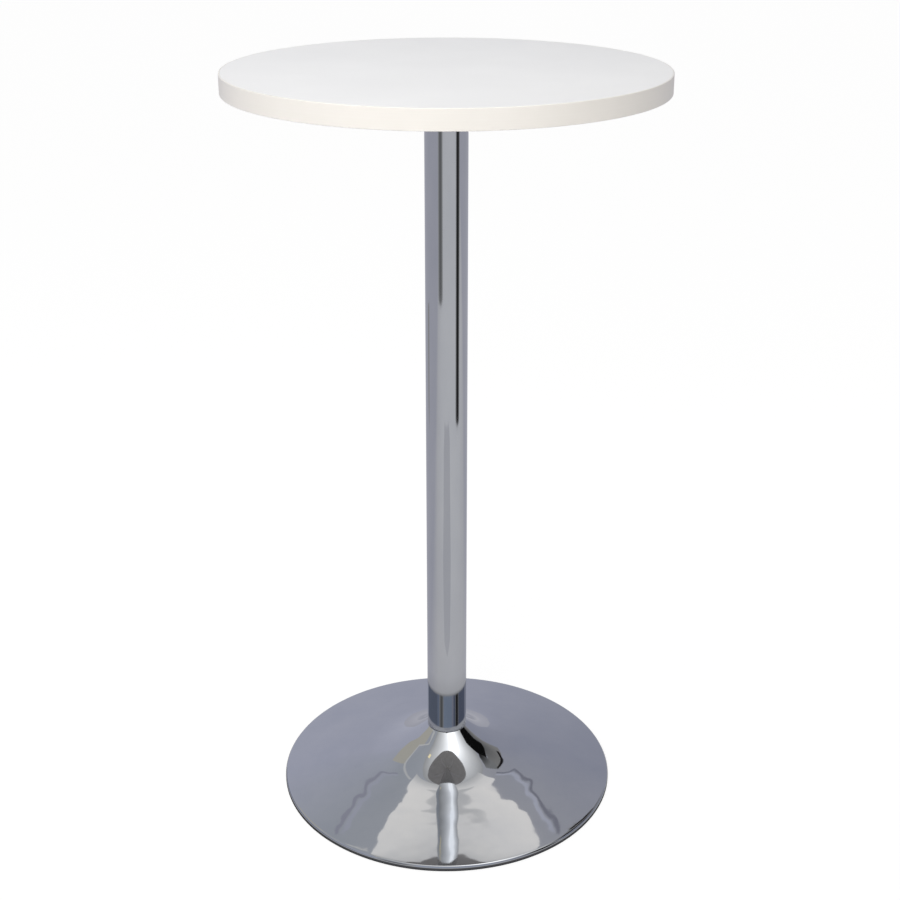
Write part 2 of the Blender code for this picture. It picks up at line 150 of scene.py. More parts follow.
# finishes: sizes and depths in their looks are in mm
def chromePlate(name, look):
    # bright chrome over nickel on polished steel: a cool mirror, whose polishing marks and faint haze
    # break the reflections up a little
    made, tree, shader = newFinish(name, Metallic=1.0)
    haze = noise(tree, onPiece(tree, (1, 1, look["hazeStretch"])), look["hazeSize"], 4.0, 0.6)
    varyColour(tree, shader, haze, [(0.3, look["plate"]), (0.75, look["hazed"])])
    varyRoughness(tree, shader, haze, look["roughness"], 0.3, 0.8)
    sheet = noise(tree, onPiece(tree, (1, 1, look["waveStretch"])), look["waveSize"], 1.0)
    perMetre = 1000 / look["markPitch"]
    if look["turned"]:
        marks = roundTheAxis(tree, perMetre, perMetre)
    else:
        marks = onPiece(tree, (perMetre, perMetre, 4))
    lines = put(tree, "ShaderNodeTexNoise", {"Vector": marks, "Scale": 1.0, "Detail": 2.0}).outputs["Fac"]
    joinBumps(tree, shader, [(sheet, 1.0, look["waveDepth"] * mm), (lines, 1.0, look["markDepth"] * mm)])
    return made


pressedChromeLook = {
    "plate": "c6c8cb", "hazed": "bec1c6",
    "roughness": (0.025, 0.06),
    "hazeSize": 70, "hazeStretch": 1,
    # the sheet's slow waves
    "waveSize": 30, "waveStretch": 1, "waveDepth": 0.16,
    # rings left by polishing, drawn coarser than the real 0.2 mm
    "turned": True, "markPitch": 1.6, "markDepth": 0.0006,
}
tubeChromeLook = {
    "plate": "c6c8cb", "hazed": "bcbfc4",
    "roughness": (0.03, 0.07),
    "hazeSize": 45, "hazeStretch": 0.25,
    "waveSize": 11, "waveStretch": 0.04, "waveDepth": 0.03,
    "turned": False, "markPitch": 1.1, "markDepth": 0.0006,
}
pressedChrome = chromePlate("chromePlatePressed", pressedChromeLook)
tubeChrome = chromePlate("chromePlateTube", tubeChromeLook)


def satinLaminate(name, look):
    # high-pressure melamine laminate pressed against a pearl-textured plate: near white, a soft broad sheen
    made, tree, shader = newFinish(name, IOR=1.5, Specular_IOR_Level=0.45)
    cloud = noise(tree, onPiece(tree), look["cloudSize"], 3.0)
    varyColour(tree, shader, cloud, [(0.3, look["pale"]), (0.7, look["dull"])])
    rub = noise(tree, onPiece(tree), look["rubSize"], 5.0, 0.65)
    varyRoughness(tree, shader, rub, look["roughness"], 0.3, 0.7)
    pearl = cells(tree, onPiece(tree), look["pearlSize"], feature="SMOOTH_F1").outputs["Distance"]
    joinBumps(tree, shader, [(pearl, 0.5, look["pearlDepth"] * mm)])
    return made


# the pearl is really 0.6 mm, drawn coarser to show
faceLook = {"pale": "f5f5f4", "dull": "f1f1f0", "cloudSize": 160, "rubSize": 45, "roughness": (0.36, 0.46),
            "pearlSize": 1.6, "pearlDepth": 0.02}
backingLook = {"pale": "bbb7af", "dull": "b0aca4", "cloudSize": 60, "rubSize": 25, "roughness": (0.5, 0.62),
               "pearlSize": 2.2, "pearlDepth": 0.03}
faceLaminate = satinLaminate("whiteMelamineLaminate", faceLook)
backingLaminate = satinLaminate("greyBackingLaminate", backingLook)


def edgingPlastic(name, look):
    # extruded ABS edging: cream white, with faint lines along its length from the die and a buffed sheen
    made, tree, shader = newFinish(name, IOR=1.53, Coat_Weight=0.12, Coat_Roughness=0.18)
    rings = roundTheAxis(tree, look["acrossPitch"], 1000 / look["linePitch"])
    lines = put(tree, "ShaderNodeTexNoise", {"Vector": rings, "Scale": 1.0, "Detail": 2.0}).outputs["Fac"]
    cloud = noise(tree, onPiece(tree), look["cloudSize"], 3.0)
    varyColour(tree, shader, blend(tree, 0.35, cloud, lines), [(0.3, look["pale"]), (0.7, look["dull"])])
    varyRoughness(tree, shader, cloud, look["roughness"], 0.3, 0.7)
    joinBumps(tree, shader, [(lines, 0.4, look["lineDepth"] * mm)])
    return made


def zincPlate(name, look):
    # bright zinc plate: bluish grey, half matt, with the crystals' faint patchiness
    made, tree, shader = newFinish(name, Metallic=1.0)
    crystals = cells(tree, onPiece(tree), look["crystalSize"]).outputs["Distance"]
    smear = noise(tree, onPiece(tree), look["smearSize"], 4.0)
    varyColour(tree, shader, blend(tree, 0.4, smear, crystals), [(0.2, look["pale"]), (0.75, look["dull"])])
    varyRoughness(tree, shader, smear, look["roughness"])
    joinBumps(tree, shader, [(crystals, 0.25, look["crystalDepth"] * mm)])
    return made


def powderCoat(name, look):
    # polyester powder coat on steel: warm grey, an even half gloss over fine orange peel
    made, tree, shader = newFinish(name, IOR=1.5)
    peel = noise(tree, onPiece(tree), look["peelSize"], 2.0)
    dust = noise(tree, onPiece(tree), look["dustSize"], 5.0, 0.7)
    varyColour(tree, shader, dust, [(0.35, look["pale"]), (0.72, look["dull"])])
    varyRoughness(tree, shader, dust, look["roughness"])
    joinBumps(tree, shader, [(peel, 0.5, look["peelDepth"] * mm)])
    return made


def sandCastIron(name, look):
    # grey iron from a sand mould, dipped in thin black: dull, gritty, a little rust in the pits
    made, tree, shader = newFinish(name, Metallic=0.55)
    grit = noise(tree, onPiece(tree), look["gritSize"], 6.0, 0.7)
    lumps = noise(tree, onPiece(tree), look["lumpSize"], 4.0)
    varyColour(tree, shader, blend(tree, 0.45, lumps, grit),
               [(0.3, look["rust"]), (0.42, look["iron"]), (0.7, look["dip"])])
    varyRoughness(tree, shader, grit, look["roughness"])
    joinBumps(tree, shader, [(lumps, 0.6, look["lumpDepth"] * mm), (grit, 0.7, look["gritDepth"] * mm)])
    return made


def mouldedRubber(name, look):
    # moulded EPDM: matt black with a dusting of pale bloom
    made, tree, shader = newFinish(name, IOR=1.52)
    bloom = noise(tree, onPiece(tree), look["bloomSize"], 5.0, 0.7)
    varyColour(tree, shader, bloom, [(0.4, look["black"]), (0.75, look["bloom"])])
    varyRoughness(tree, shader, bloom, look["roughness"])
    grain = noise(tree, onPiece(tree), look["grainSize"], 2.0)
    joinBumps(tree, shader, [(grain, 0.4, look["grainDepth"] * mm)])
    return made


def rawParticleBoard(name, look):
    # pressed spruce chips in glue: straw and brown flakes a few millimetres long
    made, tree, shader = newFinish(name, IOR=1.45)
    flakes = cells(tree, onPiece(tree, (1, 1, look["flatness"])), look["flakeSize"])
    tone = put(tree, "ShaderNodeSeparateColor", {"Color": flakes.outputs["Color"]}).outputs[0]
    varyColour(tree, shader, tone, [(0.1, look["bark"]), (0.45, look["straw"]), (0.9, look["pale"])])
    varyRoughness(tree, shader, flakes.outputs["Distance"], look["roughness"])
    joinBumps(tree, shader, [(flakes.outputs["Distance"], 0.6, look["flakeDepth"] * mm)])
    return made


edgingLook = {"pale": "f3f0ea", "dull": "edeae3", "roughness": (0.3, 0.42),
              "linePitch": 2.4, "lineDepth": 0.02, "acrossPitch": 60, "cloudSize": 90}
zincLook = {"pale": "c9ccd0", "dull": "a9acaf", "roughness": (0.24, 0.46),
            "crystalSize": 1.8, "crystalDepth": 0.03, "smearSize": 9}
# the coat's own warm grey lifted lighter: partly painted light that makes up for the shade along the arms'
# sides
coatLook = {"pale": "c2beb7", "dull": "b6b2ab", "roughness": (0.38, 0.55),
            "peelSize": 1.4, "peelDepth": 0.05, "dustSize": 28}
ironLook = {"rust": "4b3c33", "iron": "3d3d3f", "dip": "2f3032", "roughness": (0.62, 0.9),
            "gritSize": 1.5, "gritDepth": 0.25, "lumpSize": 22, "lumpDepth": 0.8}
rubberLook = {"black": "1b1b1c", "bloom": "2c2b2b", "roughness": (0.62, 0.85),
              "bloomSize": 12, "grainSize": 0.9, "grainDepth": 0.04}
boardLook = {"bark": "8f6b44", "straw": "c2a172", "pale": "d9bf92", "roughness": (0.75, 0.95),
             "flakeSize": 3.2, "flakeDepth": 0.3, "flatness": 2.5}
creamEdging = edgingPlastic("creamAbsEdging", edgingLook)
zincPlated = zincPlate("brightZincPlate", zincLook)
greyPowderCoat = powderCoat("warmGreyPowderCoat", coatLook)
castIron = sandCastIron("sandCastIron", ironLook)
rubber = mouldedRubber("blackEpdmRubber", rubberLook)
particleBoard = rawParticleBoard("rawParticleBoard", boardLook)
print("finishes made:", len(bpy.data.materials))


# shapes
def newGrower(name, sockets):
    # a Geometry Nodes tree with named inputs
    tree = bpy.data.node_groups.new(name, "GeometryNodeTree")
    tree.interface.new_socket("Geometry", in_out="INPUT", socket_type="NodeSocketGeometry")
    for label, kind, value in sockets:
        socket = tree.interface.new_socket(label, in_out="INPUT", socket_type=kind)
        if value is not None:
            socket.default_value = value
    tree.interface.new_socket("Geometry", in_out="OUTPUT", socket_type="NodeSocketGeometry")
    return tree, put(tree, "NodeGroupInput"), put(tree, "NodeGroupOutput")


def finishGrower(tree, given, out, shape):
    # every tree ends in real geometry with its material on it
    real = put(tree, "GeometryNodeRealizeInstances", {"Geometry": shape})
    painted = put(tree, "GeometryNodeSetMaterial",
                  {"Geometry": real.outputs[0], "Material": given.outputs["Finish"]})
    tree.links.new(painted.outputs[0], out.inputs[0])


def grow(name, tree, values, start=None):
    # runs a tree on the start mesh and returns the plain mesh it makes
    seed = bpy.data.objects.new(name + "Seed", start or bpy.data.meshes.new(name + "Start"))
    bpy.context.scene.collection.objects.link(seed)
    modifier = seed.modifiers.new("grow", "NODES")
    modifier.node_group = tree
    for item in tree.interface.items_tree:
        if item.item_type == "SOCKET" and item.in_out == "INPUT" and item.name in values:
            modifier[item.identifier] = values[item.name]
    graph = bpy.context.evaluated_depsgraph_get()
    mesh = bpy.data.meshes.new_from_object(seed.evaluated_get(graph), preserve_all_data_layers=True,
                                           depsgraph=graph)
    bpy.data.objects.remove(seed)
    return mesh


def tidyMesh(mesh, sharpAngle=40, merge=0.002 * mm):
    # closes seams, turns every shell's faces outwards and shades it smooth up to the sharp angle
    form = bmesh.new()
    form.from_mesh(mesh)
    bmesh.ops.remove_doubles(form, verts=form.verts, dist=merge)
    bmesh.ops.dissolve_degenerate(form, edges=form.edges, dist=merge / 4)
    bmesh.ops.recalc_face_normals(form, faces=form.faces)
    form.to_mesh(mesh)
    form.free()
    mesh.shade_smooth()
    mesh.set_sharp_from_angle(angle=math.radians(sharpAngle))
    return mesh


def setPiece(name, mesh, finish, slotName, *nodes):
    # one finished piece of the table: it rides on the only body and stands for its CAD nodes
    piece = bpy.data.objects.new(name, mesh)
    bpy.context.scene.collection.objects.link(piece)
    if not mesh.materials:
        mesh.materials.append(finish)
    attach(piece, "root")
    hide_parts(*nodes)
    return piece


def rolled(corners, steps=6):
    # a closed outline in mm from (radius, height, rounding) corners, each rolled over by its rounding
    outline = []
    for i, (r, z, soft) in enumerate(corners):
        here = Vector((r, z))
        back = Vector(corners[i - 1][:2]) - here
        ahead = Vector(corners[(i + 1) % len(corners)][:2]) - here
        if soft == 0:
            outline.append(tuple(here))
            continue
        half = back.angle(ahead) / 2
        reach = soft / math.tan(half)
        middle = here + (back.normalized() + ahead.normalized()).normalized() * soft / math.sin(half)
        start = here + back.normalized() * reach - middle
        end = here + ahead.normalized() * reach - middle
        # a holding point each side keeps the flats flat in smooth shading
        outline.append(tuple(here + back.normalized() * min(reach * 1.3, back.length * 0.49)))
        for s in range(steps + 1):
            outward = (start * (1 - s / steps) + end * (s / steps)).normalized()
            outline.append(tuple(middle + outward * soft))
        outline.append(tuple(here + ahead.normalized() * min(reach * 1.3, ahead.length * 0.49)))
    return outline


def arcPoints(centre, radius, start, end, steps):
    return [(centre[0] + radius * math.cos(a), centre[1] + radius * math.sin(a))
            for a in [start + (end - start) * s / steps for s in range(steps + 1)]]


def outlineMesh(name, outline, closed=True):
    # the outline, in mm, as a chain of points for a turning tree
    mesh = bpy.data.meshes.new(name)
    points = [(r * mm, 0, z * mm) for r, z in outline]
    if closed:
        points.append(points[0])
    mesh.from_pydata(points, [(i, i + 1) for i in range(len(points) - 1)], [])
    return mesh


def makeTurner():
    # turns the start mesh's chain of points round Z, as on a lathe, with room for a swell ring and
    # slow waves
    tree, given, out = newGrower("turnOnAxis", [
        ("Sides", "NodeSocketInt", 128),
        ("Swell Radius", "NodeSocketFloat", 0.15),
        ("Swell Width", "NodeSocketFloat", 0.01),
        ("Swell Height", "NodeSocketFloat", 0.0),
        ("Wave Size", "NodeSocketFloat", 0.12),
        ("Wave Height", "NodeSocketFloat", 0.0),
        ("Finish", "NodeSocketMaterial", None),
    ])
    chain = given.outputs["Geometry"]
    count = put(tree, "GeometryNodeAttributeDomainSize", {"Geometry": chain}).outputs["Point Count"]
    columns = calc(tree, "ADD", given.outputs["Sides"], 1.0)
    grid = put(tree, "GeometryNodeMeshGrid", {"Vertices X": count, "Vertices Y": columns})
    index = put(tree, "GeometryNodeInputIndex").outputs[0]
    row = calc(tree, "DIVIDE", index, columns)
    row = calc(tree, "FLOOR", row)
    column = calc(tree, "MODULO", index, columns)
    place = put(tree, "GeometryNodeInputPosition").outputs[0]
    point = put(tree, "GeometryNodeSampleIndex", {"Geometry": chain, "Value": place, "Index": row},
                data_type="FLOAT_VECTOR").outputs[0]
    share = calc(tree, "DIVIDE", column, given.outputs["Sides"])
    angle = calc(tree, "MULTIPLY", share, turn)
    turned = put(tree, "ShaderNodeVectorRotate", {"Vector": point, "Angle": angle},
                 rotation_type="Z_AXIS").outputs[0]
    # the swell ring: a smooth hump at one radius
    radius = put(tree, "ShaderNodeSeparateXYZ", {0: point}).outputs["X"]
    off = calc(tree, "SUBTRACT", radius, given.outputs["Swell Radius"])
    off = calc(tree, "DIVIDE", off, given.outputs["Swell Width"])
    off = calc(tree, "MULTIPLY", off, off)
    off = calc(tree, "MULTIPLY", off, -1.0)
    hump = calc(tree, "EXPONENT", off)
    hump = calc(tree, "MULTIPLY", hump, given.outputs["Swell Height"])
    # the slow waves of sheet metal
    pitch = calc(tree, "DIVIDE", 1.0, given.outputs["Wave Size"])
    ripple = put(tree, "ShaderNodeTexNoise", {"Vector": turned, "Scale": pitch, "Detail": 1.0})
    wave = calc(tree, "SUBTRACT", ripple.outputs["Fac"], 0.5)
    wave = calc(tree, "MULTIPLY", wave, given.outputs["Wave Height"])
    lift = calc(tree, "ADD", hump, wave)
    lift = put(tree, "ShaderNodeCombineXYZ", {"Z": lift})
    placed = put(tree, "GeometryNodeSetPosition",
                 {"Geometry": grid.outputs["Mesh"], "Position": turned, "Offset": lift.outputs[0]})
    joined = put(tree, "GeometryNodeMergeByDistance",
                 {"Geometry": placed.outputs[0], "Distance": 0.001 * mm})
    finishGrower(tree, given, out, joined.outputs[0])
    return tree


turner = makeTurner()


def turned(name, outline, finish, sides=128, sharpAngle=40, closed=True, **more):
    values = {"Sides": sides, "Finish": finish, **more}
    return tidyMesh(grow(name, turner, values, outlineMesh(name + "Outline", outline, closed)), sharpAngle)


def makeArcStrip():
    # sweeps the start mesh's outline along an arc round the axis, leaving a gap at the seam
    tree, given, out = newGrower("stripRoundAxis", [
        ("Radius", "NodeSocketFloat", 0.3),
        ("Gap", "NodeSocketFloat", 0.0005),
        ("Seam Angle", "NodeSocketFloat", math.pi / 2),
        ("Pitch", "NodeSocketFloat", 0.0),
        ("Steps", "NodeSocketInt", 256),
        ("Finish", "NodeSocketMaterial", None),
    ])
    opening = calc(tree, "DIVIDE", given.outputs["Gap"], given.outputs["Radius"])
    half = calc(tree, "MULTIPLY", opening, 0.5)
    start = calc(tree, "ADD", given.outputs["Seam Angle"], half)
    sweep = calc(tree, "SUBTRACT", turn, opening)
    path = put(tree, "GeometryNodeCurveArc",
               {"Resolution": given.outputs["Steps"], "Radius": given.outputs["Radius"],
                "Start Angle": start, "Sweep Angle": sweep}, mode="RADIUS")
    along = put(tree, "GeometryNodeSplineParameter").outputs["Factor"]
    rise = calc(tree, "MULTIPLY", along, given.outputs["Pitch"])
    rise = put(tree, "ShaderNodeCombineXYZ", {"Z": rise})
    path = put(tree, "GeometryNodeSetPosition",
               {"Geometry": path.outputs["Curve"], "Offset": rise.outputs[0]})
    upright = put(tree, "GeometryNodeSetCurveNormal", {"Curve": path.outputs[0]}, mode="Z_UP")
    section = put(tree, "GeometryNodeMeshToCurve", {"Mesh": given.outputs["Geometry"]})
    solid = put(tree, "GeometryNodeCurveToMesh",
                {"Curve": upright.outputs[0], "Profile Curve": section.outputs[0], "Fill Caps": True})
    finishGrower(tree, given, out, solid.outputs[0])
    return tree


stripMaker = makeArcStrip()


def makeThreader():
    # a capped rod along Z whose surface follows a thread: a ridge that climbs one pitch in every turn
    tree, given, out = newGrower("threadedRod", [
        ("Radius", "NodeSocketFloat", 0.006),
        ("Depth", "NodeSocketFloat", 0.0009),
        ("Pitch", "NodeSocketFloat", 0.00175),
        ("Low", "NodeSocketFloat", 0.0),
        ("Length", "NodeSocketFloat", 0.04),
        ("Sides", "NodeSocketInt", 32),
        ("Finish", "NodeSocketMaterial", None),
    ])
    turns = calc(tree, "DIVIDE", given.outputs["Length"], given.outputs["Pitch"])
    rings = calc(tree, "MULTIPLY", turns, 10.0)
    rod = put(tree, "GeometryNodeMeshCylinder", {"Vertices": given.outputs["Sides"], "Side Segments": rings,
                                                "Radius": given.outputs["Radius"],
                                                "Depth": given.outputs["Length"]})
    place = put(tree, "GeometryNodeInputPosition").outputs[0]
    split = put(tree, "ShaderNodeSeparateXYZ", {0: place})
    angle = calc(tree, "ARCTAN2", split.outputs["Y"], split.outputs["X"])
    share = calc(tree, "DIVIDE", angle, turn)
    climb = calc(tree, "DIVIDE", split.outputs["Z"], given.outputs["Pitch"])
    phase = calc(tree, "SUBTRACT", climb, share)
    ridge = calc(tree, "PINGPONG", phase, 0.5)
    ridge = calc(tree, "MULTIPLY", ridge, 2.0)
    # the thread dies away at both ends, which leaves them chamfered
    half = calc(tree, "MULTIPLY", given.outputs["Length"], 0.5)
    height = calc(tree, "ABSOLUTE", split.outputs["Z"])
    toEnd = calc(tree, "SUBTRACT", half, height)
    fade = put(tree, "ShaderNodeMath", {0: toEnd, 1: given.outputs["Depth"]}, operation="DIVIDE",
               use_clamp=True)
    full = calc(tree, "MULTIPLY", ridge, fade.outputs[0])
    dip = calc(tree, "SUBTRACT", 1.0, full)
    deep = calc(tree, "MULTIPLY", dip, given.outputs["Depth"])
    reach = calc(tree, "SUBTRACT", given.outputs["Radius"], deep)
    part = calc(tree, "DIVIDE", reach, given.outputs["Radius"])
    squeeze = put(tree, "ShaderNodeCombineXYZ", {"X": part, "Y": part, "Z": 1.0}).outputs[0]
    moved = put(tree, "ShaderNodeVectorMath", {0: place, 1: squeeze}, operation="MULTIPLY").outputs[0]
    up = calc(tree, "ADD", given.outputs["Low"], half)
    lift = put(tree, "ShaderNodeCombineXYZ", {"Z": up}).outputs[0]
    placed = put(tree, "GeometryNodeSetPosition",
                 {"Geometry": rod.outputs["Mesh"], "Position": moved, "Offset": lift})
    finishGrower(tree, given, out, placed.outputs[0])
    return tree


threader = makeThreader()


def joinMeshes(name, *meshes):
    # several meshes of one finish in one
    form = bmesh.new()
    for mesh in meshes:
        form.from_mesh(mesh)
    joined = bpy.data.meshes.new(name)
    form.to_mesh(joined)
    form.free()
    joined.materials.append(meshes[0].materials[0])
    return joined


def sectionMesh(name, outline, radius):
    # an outline in mm as a closed loop in the plane that a strip's section is drawn in
    mesh = bpy.data.meshes.new(name)
    points = [((r - radius) * mm, -z * mm, 0) for r, z in outline]
    count = len(points)
    mesh.from_pydata(points, [(i, (i + 1) % count) for i in range(count)], [])
    return mesh


def keepNode(node, finish):
    # a CAD node that is shown as it is, with the real finish in its slots
    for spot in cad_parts[node].material_slots:
        spot.material = finish


def low(node):
    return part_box(node)[0].z / mm


def high(node):
    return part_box(node)[1].z / mm


def outer(node):
    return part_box(node)[1].x / mm


# tabletop
tabletop = {
    "height": high("top_laminate"),
    "radius": outer("edge_band"),
    "stripThickness": 2,
    "arris": 0.9,          # rolled edges of the plastic strip
    "laminate": 0.6,
    "faceArris": 0.12,
    "glueGap": 0.08,
    "holdingRing": 0.97,   # a ring of points near the rim that keeps the flat faces flat
    "seamGap": 0.4,
    "backArris": 0.1,
}
faceRadius = tabletop["radius"] - tabletop["stripThickness"] - tabletop["glueGap"]
holdRadius = faceRadius * tabletop["holdingRing"]
faceTop, faceFoot = tabletop["height"], tabletop["height"] - tabletop["laminate"]
face = rolled([(0, faceTop, 0), (faceRadius, faceTop, tabletop["faceArris"]),
               (faceRadius, faceFoot, 0), (0, faceFoot, 0)], 3)
face.insert(1, (holdRadius, faceTop))
setPiece("whiteTableFace", turned("whiteTableFace", face, faceLaminate, 360, 50), faceLaminate, "laminate",
         "top_laminate")

bottom = low("edge_band")
inside = tabletop["radius"] - tabletop["stripThickness"]
strip = rolled([
    (inside, faceTop, tabletop["backArris"]),
    (tabletop["radius"], faceTop, tabletop["arris"]),
    (tabletop["radius"], bottom, tabletop["arris"]),
    (inside, bottom, tabletop["backArris"]),
], 8)
stripMesh = grow("edgeStrip", stripMaker, {
    "Radius": tabletop["radius"] * mm, "Gap": tabletop["seamGap"] * mm, "Seam Angle": math.pi / 2,
    "Steps": 360, "Finish": creamEdging,
}, sectionMesh("edgeStripSection", strip, tabletop["radius"]))
setPiece("edgeStrip", tidyMesh(stripMesh), creamEdging, "edge_plastic", "edge_band")
keepNode("top_core", particleBoard)
backTop, backFoot = high("backing_laminate"), low("backing_laminate")
backing = rolled([(0, backTop, 0), (faceRadius, backTop, 0),
                  (faceRadius, backFoot, tabletop["faceArris"]), (0, backFoot, 0)], 3)
backing.insert(-1, (holdRadius, backFoot))
setPiece("backingFace", turned("backingFace", backing, backingLaminate, 360, 50), backingLaminate,
         "laminate", "backing_laminate")
print("tabletop done")

# spider
spider = {
    "overhang": outer("spider_hub"), "edge": 1.2,
    "armWidth": 30, "armThickness": 5, "armEdge": 0.6,
    "armRoot": outer("spider_hub") + 0.3, "armReach": 215,
    "arms": 4, "firstAngle": math.radians(45),
    "screwRadii": (95, 195),
    "spigot": 28.2, "spigotEdge": 2, "nutRecess": 15, "rodHole": 6.6, "softEdge": 0.5,
}
hubTop, hubLow = high("spider_hub"), low("spider_hub")
shoulder = high("column_tube") + 0.3
recessFloor = low("top_washer") - 0.3
hub = rolled([
    (spider["nutRecess"], hubTop, spider["softEdge"]),
    (spider["overhang"], hubTop, 0.8),
    (spider["overhang"], shoulder, spider["edge"]),
    (spider["spigot"], shoulder, 0),
    (spider["spigot"], hubLow, spider["spigotEdge"]),
    (spider["rodHole"], hubLow, spider["softEdge"]),
    (spider["rodHole"], recessFloor, 0),
    (spider["nutRecess"], recessFloor, 0),
], 5)
setPiece("spiderHub", turned("spiderHub", hub, greyPowderCoat, 96), greyPowderCoat, "grey_paint",
         "spider_hub")


def armMesh(look):
    # one flat bar along +X with a half-round tip and eased edges
    half, rootX = look["armWidth"] / 2, look["armRoot"]
    tipX = look["armReach"] - half
    plan = [(rootX, half), (rootX, -half)]
    plan += arcPoints((tipX, 0), half, -turn / 4, turn / 4, 24)
    form = bmesh.new()
    blank = form.faces.new([form.verts.new((x * mm, y * mm, hubTop * mm)) for x, y in plan])
    grown = bmesh.ops.extrude_face_region(form, geom=[blank])["geom"]
    bmesh.ops.translate(form, vec=(0, 0, -look["armThickness"] * mm),
                        verts=[g for g in grown if isinstance(g, bmesh.types.BMVert)])
    bmesh.ops.recalc_face_normals(form, faces=form.faces)
    rims = [e for e in form.edges if abs(e.verts[0].co.z - e.verts[1].co.z) < 1e-6]
    bmesh.ops.bevel(form, geom=rims, offset=look["armEdge"] * mm, segments=3, affect="EDGES", profile=0.5)
    mesh = bpy.data.meshes.new("spiderArmBlank")
    form.to_mesh(mesh)
    form.free()
    return mesh


def makeCircler():
    # sets copies of the start mesh round the axis
    tree, given, out = newGrower("copiesRoundAxis", [
        ("Count", "NodeSocketInt", 4),
        ("First Angle", "NodeSocketFloat", 0.0),
        ("Finish", "NodeSocketMaterial", None),
    ])
    points = put(tree, "GeometryNodePoints", {"Count": given.outputs["Count"]})
    index = put(tree, "GeometryNodeInputIndex").outputs[0]
    step = calc(tree, "DIVIDE", turn, given.outputs["Count"])
    angle = calc(tree, "MULTIPLY", index, step)
    angle = calc(tree, "ADD", angle, given.outputs["First Angle"])
    spin = put(tree, "ShaderNodeCombineXYZ", {"Z": angle}).outputs[0]
    copies = put(tree, "GeometryNodeInstanceOnPoints",
                 {"Points": points.outputs[0], "Instance": given.outputs["Geometry"], "Rotation": spin})
    finishGrower(tree, given, out, copies.outputs[0])
    return tree


def makeBeader():
    # a weld bead along Y: overlapping flattened drops, each a little different in size and turn
    tree, given, out = newGrower("weldBead", [
        ("Radius", "NodeSocketFloat", 0.0019),
        ("Spacing", "NodeSocketFloat", 0.0013),
        ("Length", "NodeSocketFloat", 0.03),
        ("Root", "NodeSocketVector", (0, 0, 0)),
        ("Finish", "NodeSocketMaterial", None),
    ])
    count = calc(tree, "DIVIDE", given.outputs["Length"], given.outputs["Spacing"])
    step = put(tree, "ShaderNodeCombineXYZ", {"Y": given.outputs["Spacing"]}).outputs[0]
    line = put(tree, "GeometryNodeMeshLine",
               {"Count": count, "Start Location": given.outputs["Root"], "Offset": step})
    drop = put(tree, "GeometryNodeMeshUVSphere",
               {"Segments": 16, "Rings": 10, "Radius": given.outputs["Radius"]})
    sizes = put(tree, "FunctionNodeRandomValue", {0: (0.86, 0.80, 0.86), 1: (1.0, 1.0, 1.0), "Seed": 3},
                data_type="FLOAT_VECTOR")
    turns = put(tree, "FunctionNodeRandomValue", {0: (-0.2, -0.2, -0.2), 1: (0.2, 0.2, 0.2), "Seed": 5},
                data_type="FLOAT_VECTOR")
    drops = put(tree, "GeometryNodeInstanceOnPoints",
                {"Points": line.outputs[0], "Instance": drop.outputs["Mesh"],
                 "Scale": sizes.outputs[0], "Rotation": turns.outputs[0]})
    finishGrower(tree, given, out, drops.outputs[0])
    return tree


weld = {"radius": 1.9, "spacing": 1.25, "length": 28.6, "sunk": 0.3}
weldRoot = ((spider["armRoot"] + weld["radius"] + 0.1) * mm, -weld["length"] / 2 * mm,
            (hubTop - spider["armThickness"] + weld["sunk"]) * mm)
beadMesh = grow("weldBead", makeBeader(), {"Radius": weld["radius"] * mm, "Spacing": weld["spacing"] * mm,
                                           "Length": weld["length"] * mm, "Root": weldRoot,
                                           "Finish": greyPowderCoat})
armBlank = armMesh(spider)
armBlank.materials.append(greyPowderCoat)
circler = makeCircler()
armsMesh = grow("spiderArms", circler,
                {"Count": spider["arms"], "First Angle": spider["firstAngle"], "Finish": greyPowderCoat},
                joinMeshes("spiderArm", armBlank, beadMesh))
setPiece("spiderArms", tidyMesh(armsMesh, 50), greyPowderCoat, "grey_paint",
         *[f"spider_arm_{n}" for n in range(1, 5)])

screw = {
    "seat": high("wood_screw_1") - 20, "shank": 2.2, "core": 1.5, "length": 20,
    "head": 4.2, "headHeight": 2.6, "crossWidth": 1.0, "crossReach": 2.5, "crossDepth": 1.5,
}


